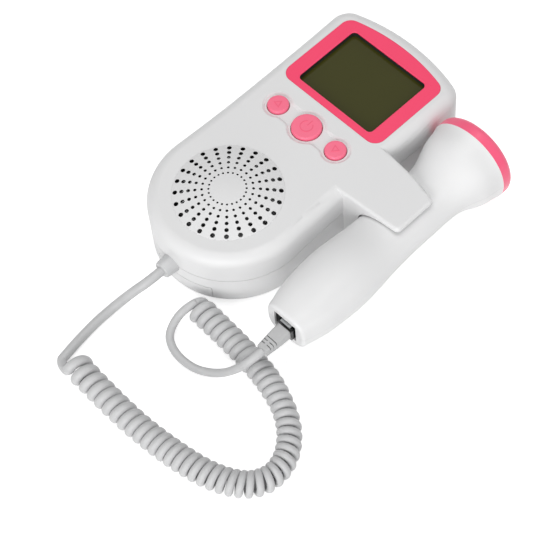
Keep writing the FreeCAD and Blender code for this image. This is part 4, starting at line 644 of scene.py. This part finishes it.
light_guide = Finish("light_guide", Specular_IOR_Level=0.4)
where = light_guide.place()
frost = light_guide.noise(where, 0.0003, 2)
light_guide.feed("Base Color", light_guide.mix(frost, (0.76, 0.76, 0.72, 1), (0.84, 0.84, 0.80, 1)))
light_guide.feed("Roughness", 0.5 + 0.2 * frost)
light_guide.relief(frost, 0.00001)
wear(light_guide, "lcd_backlight")

# ---- Boards ---------------------------------------------------------------------------------------
# Glass-epoxy circuit boards under green solder mask, with copper tracks that show as a lighter relief,
# and black epoxy packages.

TRACK_CELL = 0.0016

solder_mask = Finish("solder_mask", Specular_IOR_Level=0.5)
where = solder_mask.place()
cells = solder_mask.node("TexBrick", {"offset": 0.5, "squash": 1.0}, {
    "Vector": where, "Scale": 1 / TRACK_CELL, "Mortar Size": 0.12, "Color1": (1, 1, 1, 1),
    "Color2": (0.6, 0.6, 0.6, 1), "Mortar": (0, 0, 0, 1)}, "Fac")
glass_weave = solder_mask.noise(where, 0.0007, 3)
tracks = solder_mask.ramp(solder_mask.noise(where, 0.003, 1), 0.47, 0.5) * (1 - cells)
solder_mask.feed("Base Color", solder_mask.mix(tracks, (0.010, 0.075, 0.030, 1), (0.03, 0.16, 0.055, 1)))
solder_mask.feed("Roughness", 0.22 + 0.2 * glass_weave)
solder_mask.relief(0.7 * tracks + 0.3 * glass_weave, 0.00004)
wear(solder_mask, "main_board", "probe_board")

epoxy_black = Finish("epoxy_black", Specular_IOR_Level=0.4)
where = epoxy_black.place()
filler = epoxy_black.noise(where, 0.00022, 3)
epoxy_black.feed("Base Color", epoxy_black.mix(filler, (0.020, 0.020, 0.021, 1), (0.045, 0.045, 0.047, 1)))
epoxy_black.feed("Roughness", 0.5 + 0.2 * filler)
epoxy_black.relief(filler, 0.00001)
wear(epoxy_black, "board_chips", "power_switch", "volume_up_switch", "volume_down_switch",
     "crystal_backing")

# ---- Keys -----------------------------------------------------------------------------------------
# Three smooth pink caps on stems, pushed against tact switches on the board.  The marks stand up a
# hair from the caps: a power sign in the middle, a triangle down and a triangle up beside it.

KEY_ROW_Y = 0.0437
KEY_SPACING = 0.0164
KEY_TOP = 0.0307
MARK_RISE = 0.00006
MARK_DEPTH = 0.0002
MARK_WIDTH = 0.00042
POWER_RING_RADIUS = 0.0026
POWER_RING_GAP = math.radians(33)
POWER_RING_STEPS = 44
POWER_STROKE = (0.0004, 0.0036)
TRIANGLE_RADIUS = 0.0017
APEX_TURN = math.radians(132)      # the triangles lie askew on their keys and point away from each other

key_plastic = Finish("key_plastic", Specular_IOR_Level=0.5, Coat_Weight=0.12, Coat_Roughness=0.2)
where = key_plastic.place()
pigment = key_plastic.noise(where, 0.006, 3)
fine = key_plastic.noise(where, 0.0004, 2)
key_plastic.feed("Base Color", key_plastic.mix(pigment, (0.96, 0.150, 0.260, 1), (1.0, 0.170, 0.285, 1)))
key_plastic.feed("Roughness", 0.30 + 0.10 * fine)
key_plastic.relief(fine, 0.000008, 0.5)
wear(key_plastic, "power_button", "volume_up_button", "volume_down_button")


def raised_line(name, strokes):
    """A mark of flat strokes that stands a hair above a key: each stroke is a run of points."""
    vertices, faces = [], []
    for points, closed in strokes:
        points = np.array(points)
        if closed:
            before, after = np.roll(points, 1, axis=0), np.roll(points, -1, axis=0)
        else:
            before = np.vstack([2 * points[0] - points[1], points[:-1]])
            after = np.vstack([points[1:], 2 * points[-1] - points[-2]])
        into = (points - before) / np.linalg.norm(points - before, axis=1)[:, None]
        out = (after - points) / np.linalg.norm(after - points, axis=1)[:, None]
        normal = np.stack([-(into + out)[:, 1], (into + out)[:, 0]], axis=1)
        normal /= np.linalg.norm(normal, axis=1)[:, None]
        mitre = 1 / np.maximum(0.4, (normal * np.stack([-into[:, 1], into[:, 0]], axis=1)).sum(axis=1))
        side = normal * mitre[:, None] * MARK_WIDTH / 2
        start = len(vertices)
        for place, push in zip(points, side):
            for flank, height in ((push, MARK_RISE), (-push, MARK_RISE), (-push, -MARK_DEPTH),
                                  (push, -MARK_DEPTH)):
                vertices.append((*(place + flank), KEY_TOP + height))
        count = len(points)
        for i in range(count if closed else count - 1):
            a, b = start + 4 * i, start + 4 * ((i + 1) % count)
            faces += [(a + j, a + (j + 1) % 4, b + (j + 1) % 4, b + j) for j in range(4)]
        if not closed:
            faces += [(start + 3, start + 2, start + 1, start),
                      tuple(start + 4 * (count - 1) + j for j in range(4))]
    mesh = bpy.data.meshes.new(name)
    mesh.from_pydata(vertices, [], faces)
    piece = bpy.data.objects.new(name, mesh)
    bpy.context.scene.collection.objects.link(piece)
    return piece


def ring_points(x, radius, first, last, count):
    return [(x + radius * math.sin(first + (last - first) * i / count),
             KEY_ROW_Y + radius * math.cos(first + (last - first) * i / count)) for i in range(count + 1)]


key_mark = Finish("key_mark", Specular_IOR_Level=0.4)
grain = key_mark.noise(key_mark.place(), 0.0003, 2)
key_mark.feed("Base Color", key_mark.mix(grain, (0.89, 0.115, 0.210, 1), (0.94, 0.130, 0.235, 1)))
key_mark.feed("Roughness", 0.45 + 0.1 * grain)
key_mark.relief(grain, 0.000008)

power_ring = ring_points(0, POWER_RING_RADIUS, POWER_RING_GAP, 2 * math.pi - POWER_RING_GAP,
                         POWER_RING_STEPS)
power_bar = [(0, KEY_ROW_Y + reach) for reach in POWER_STROKE]
marks = {"power": [(power_ring, False), (power_bar, False)]}
for name, x, turn in (("volume_down", -KEY_SPACING, APEX_TURN),
                      ("volume_up", KEY_SPACING, APEX_TURN + math.pi)):
    corners = [(x + TRIANGLE_RADIUS * math.sin(turn + k * 2 * math.pi / 3),
                KEY_ROW_Y + TRIANGLE_RADIUS * math.cos(turn + k * 2 * math.pi / 3)) for k in range(3)]
    marks[name] = [(corners, True)]
for name, strokes in marks.items():
    mark = raised_line(name + "_mark", strokes)
    wear(key_mark, mark)
    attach(mark, name + "_button")

plunger_brass = Finish("plunger_brass", Specular_IOR_Level=0.5)
grain = plunger_brass.noise(plunger_brass.place(), 0.0004, 2)
plunger_brass.feed("Base Color", plunger_brass.mix(grain, (0.70, 0.68, 0.60, 1), (0.80, 0.78, 0.70, 1)))
plunger_brass.feed("Roughness", 0.4 + 0.15 * grain)
plunger_brass.relief(grain, 0.00001)
wear(plunger_brass, "power_plunger", "volume_up_plunger", "volume_down_plunger")

# ---- Sockets --------------------------------------------------------------------------------------
# Black glass-filled housings: the headphone socket in the upper end wall, its barrel lined with a
# nickel ring, and the modular socket in the probe's end.

PHONE_AXIS_Z = 0.012
PHONE_RING = (0.0017, 0.0024)

socket_black = Finish("socket_black", Specular_IOR_Level=0.12)
where = socket_black.place()
fibres = socket_black.noise(where, 0.00035, 4)
socket_black.feed("Base Color", socket_black.mix(fibres, (0.004, 0.004, 0.004, 1), (0.010, 0.010, 0.011, 1)))
socket_black.feed("Roughness", 0.5 + 0.2 * fibres)
socket_black.relief(fibres, 0.00001)
wear(socket_black, "probe_jack")

phone_socket = Finish("phone_socket", Specular_IOR_Level=0.45)
where = phone_socket.place()
x, z = phone_socket.axes(where, "XZ")
from_axis = phone_socket.node("VectorMath", {"operation": "LENGTH"}, {
    0: phone_socket.node("CombineXYZ", {}, {"X": x, "Y": z - PHONE_AXIS_Z})}, "Value")
ring = 1 - phone_socket.ramp(from_axis, PHONE_RING[1] - 0.00005, PHONE_RING[1])
fibres = phone_socket.noise(where, 0.0004, 3)
phone_socket.feed("Base Color", phone_socket.mix(ring, (0.012, 0.012, 0.013, 1), (0.62, 0.61, 0.58, 1)))
phone_socket.feed("Metallic", ring)
phone_socket.feed("Roughness", 0.28 + 0.2 * fibres)
phone_socket.relief(fibres, 0.000008)
wear(phone_socket, "headphone_jack")

# ---- Probe ----------------------------------------------------------------------------------------
# Two half shells of white ABS meet at the middle plane, along a thin line of painted shade.  The open
# head carries a pink rim, a pale acoustic facing, two half-moon piezo crystals and their damping block.

PROBE_SEAM_Z = 0.0195
SEAM_HALF = 0.00009

probe_plastic = moulded("probe_plastic", (0.80, 0.80, 0.803), roughness=0.36)
where = probe_plastic.place()
[z] = probe_plastic.axes(where, "Z")
# Painted shade: a thin dark line where the two shells meet.
seam_shade = 1 - probe_plastic.ramp(z.worked("ABSOLUTE", z - PROBE_SEAM_Z), SEAM_HALF / 2, SEAM_HALF)
moulded_tone = probe_plastic.shader.inputs["Base Color"].links[0].from_socket
probe_plastic.feed("Base Color", probe_plastic.mix(0.35 * seam_shade, Socket(probe_plastic.tree, moulded_tone),
                                                   (0.30, 0.30, 0.31, 1)))
wear(probe_plastic, "probe_upper_shell", "probe_lower_shell")

rim_pink = Finish("rim_pink", Specular_IOR_Level=0.5, Coat_Weight=0.2, Coat_Roughness=0.12)
where = rim_pink.place()
pigment = rim_pink.noise(where, 0.012, 3)
fine = rim_pink.noise(where, 0.0005, 2)
rim_pink.feed("Base Color", rim_pink.mix(pigment, (0.95, 0.095, 0.210, 1), (1.0, 0.110, 0.235, 1)))
rim_pink.feed("Roughness", 0.28 + 0.10 * fine)
rim_pink.relief(fine, 0.000008, 0.5)
wear(rim_pink, "probe_cap")

facing = Finish("facing", Specular_IOR_Level=0.4, Subsurface_Weight=0.1)
where = facing.place()
cast = facing.noise(where, 0.004, 3)
facing.feed("Base Color", facing.mix(cast, (0.74, 0.70, 0.70, 1), (0.82, 0.79, 0.79, 1)))
facing.feed("Roughness", 0.34 + 0.12 * cast)
facing.relief(facing.noise(where, 0.0006, 2), 0.000008)
wear(facing, "acoustic_window")

piezo = Finish("piezo", Specular_IOR_Level=0.5)
where = piezo.place()
silver = piezo.noise(where, 0.0007, 4)
piezo.feed("Base Color", piezo.mix(silver, (0.50, 0.46, 0.38, 1), (0.70, 0.68, 0.62, 1)))
piezo.feed("Roughness", 0.35 + 0.25 * silver)
piezo.relief(silver, 0.00001)
wear(piezo, "crystal_halves")

# ---- Plug -----------------------------------------------------------------------------------------
# A four-contact modular plug of clear polycarbonate with gold-plated blades, clear in its springy latch;
# below that it is coloured near-black as a painted view of the dark jack behind it.

PLUG_TOP_Z = 0.0229
LATCH_FADE = 0.0004

plug_clear = Finish("plug_clear", Specular_IOR_Level=0.5, IOR=1.58, Transmission_Weight=0.6)
where = plug_clear.place()
[z] = plug_clear.axes(where, "Z")
haze = plug_clear.noise(where, 0.0012, 3)
latch = plug_clear.ramp(z, PLUG_TOP_Z, PLUG_TOP_Z + LATCH_FADE)
clear = plug_clear.mix(haze, (0.80, 0.82, 0.83, 1), (0.90, 0.91, 0.92, 1))
# Below the latch the clear housing is painted near-black for the dark jack seen through it.
plug_clear.feed("Base Color", plug_clear.mix(latch, (0.012, 0.012, 0.012, 1), clear))
plug_clear.feed("Roughness", 0.08 + 0.14 * haze)
plug_clear.relief(haze, 0.00001, 0.4)
wear(plug_clear, "plug_housing")

blade_gold = Finish("blade_gold", Metallic=1.0)
where = blade_gold.place()
stamped = blade_gold.noise(where, 0.0003, 3)
blade_gold.feed("Base Color", blade_gold.mix(stamped, (0.80, 0.56, 0.20, 1), (0.92, 0.70, 0.32, 1)))
blade_gold.feed("Roughness", 0.2 + 0.15 * stamped)
blade_gold.relief(stamped, 0.000006)
wear(blade_gold, "plug_contacts")

# ---- Table and light ------------------------------------------------------------------------------
# A white table without an edge in view, large soft lamps low in front and overhead, weaker ones at the
# right and behind, and even light from the whole room.

ROOM_LIGHT = 0.31
TABLE_GLOW = (0.62, 0.62, 0.62, 1)
TABLE_REACH = 3
TABLE_DROP = 0.0004                # below the monitor's back
LAMP_SIZE = 0.9
LAMP_DISTANCE = 1.3
LAMPS_AIM = (0.03, 0.0, 0.015)

table_white = Finish("table_white", Specular_IOR_Level=0.1, Roughness=0.7, Emission_Strength=1.0)
faint = table_white.noise(table_white.place(), 0.05, 2)
table_white.feed("Base Color", table_white.mix(faint, (0.79, 0.79, 0.79, 1), (0.81, 0.81, 0.81, 1)))


def seen_directly(nodes, links):
    """1 for what the eye, a gloss or a clear piece looks at, and 0 for what only gives light."""
    rays = nodes.new("ShaderNodeLightPath")
    total = rays.outputs["Is Camera Ray"]
    for kind in ("Is Glossy Ray", "Is Transmission Ray"):
        both = nodes.new("ShaderNodeMath")
        both.operation = "MAXIMUM"
        links.new(total, both.inputs[0])
        links.new(rays.outputs[kind], both.inputs[1])
        total = both.outputs[0]
    return total


glow = Socket(table_white.tree, seen_directly(table_white.tree.nodes, table_white.tree.links))
table_white.feed("Emission Color", table_white.mix(glow, (0, 0, 0, 1), TABLE_GLOW))
table_mesh = bpy.data.meshes.new("table")
table_mesh.from_pydata([(TABLE_REACH * x, TABLE_REACH * y, -TABLE_DROP)
                        for x, y in ((-1, -1), (1, -1), (1, 1), (-1, 1))], [], [(0, 1, 2, 3)])
table = bpy.data.objects.new("table", table_mesh)
bpy.context.scene.collection.objects.link(table)
wear(table_white, table)

room = bpy.data.worlds.new("room")
room.use_nodes = True
bpy.context.scene.world = room
room_nodes, room_links = room.node_tree.nodes, room.node_tree.links
backdrop = room_nodes["Background"]
strength = room_nodes.new("ShaderNodeMapRange")
room_links.new(seen_directly(room_nodes, room_links), strength.inputs["Value"])
strength.inputs["To Min"].default_value = ROOM_LIGHT
strength.inputs["To Max"].default_value = 1.0
backdrop.inputs["Color"].default_value = (1, 1, 1, 1)
room_links.new(strength.outputs["Result"], backdrop.inputs["Strength"])


def lamp(name, direction, power):
    """A square soft lamp that shines at the middle of the monitor."""
    aim = Vector(LAMPS_AIM)
    light = bpy.data.lights.new(name, "AREA")
    light.size = LAMP_SIZE
    light.energy = power
    holder = bpy.data.objects.new(name, light)
    away = Vector(direction).normalized()
    holder.location = aim + away * LAMP_DISTANCE
    holder.rotation_euler = away.to_track_quat("Z", "Y").to_euler()
    bpy.context.scene.collection.objects.link(holder)


lamp("front_lamp", (0.40, -0.88, 0.35), 9.9)
lamp("top_lamp", (-0.1, 0.1, 1.0), 6.8)
lamp("side_lamp", (0.85, -0.35, 0.28), 2.6)
lamp("far_lamp", (0.3, 0.85, 0.5), 1.1)

bpy.context.scene.view_settings.view_transform = "Standard"
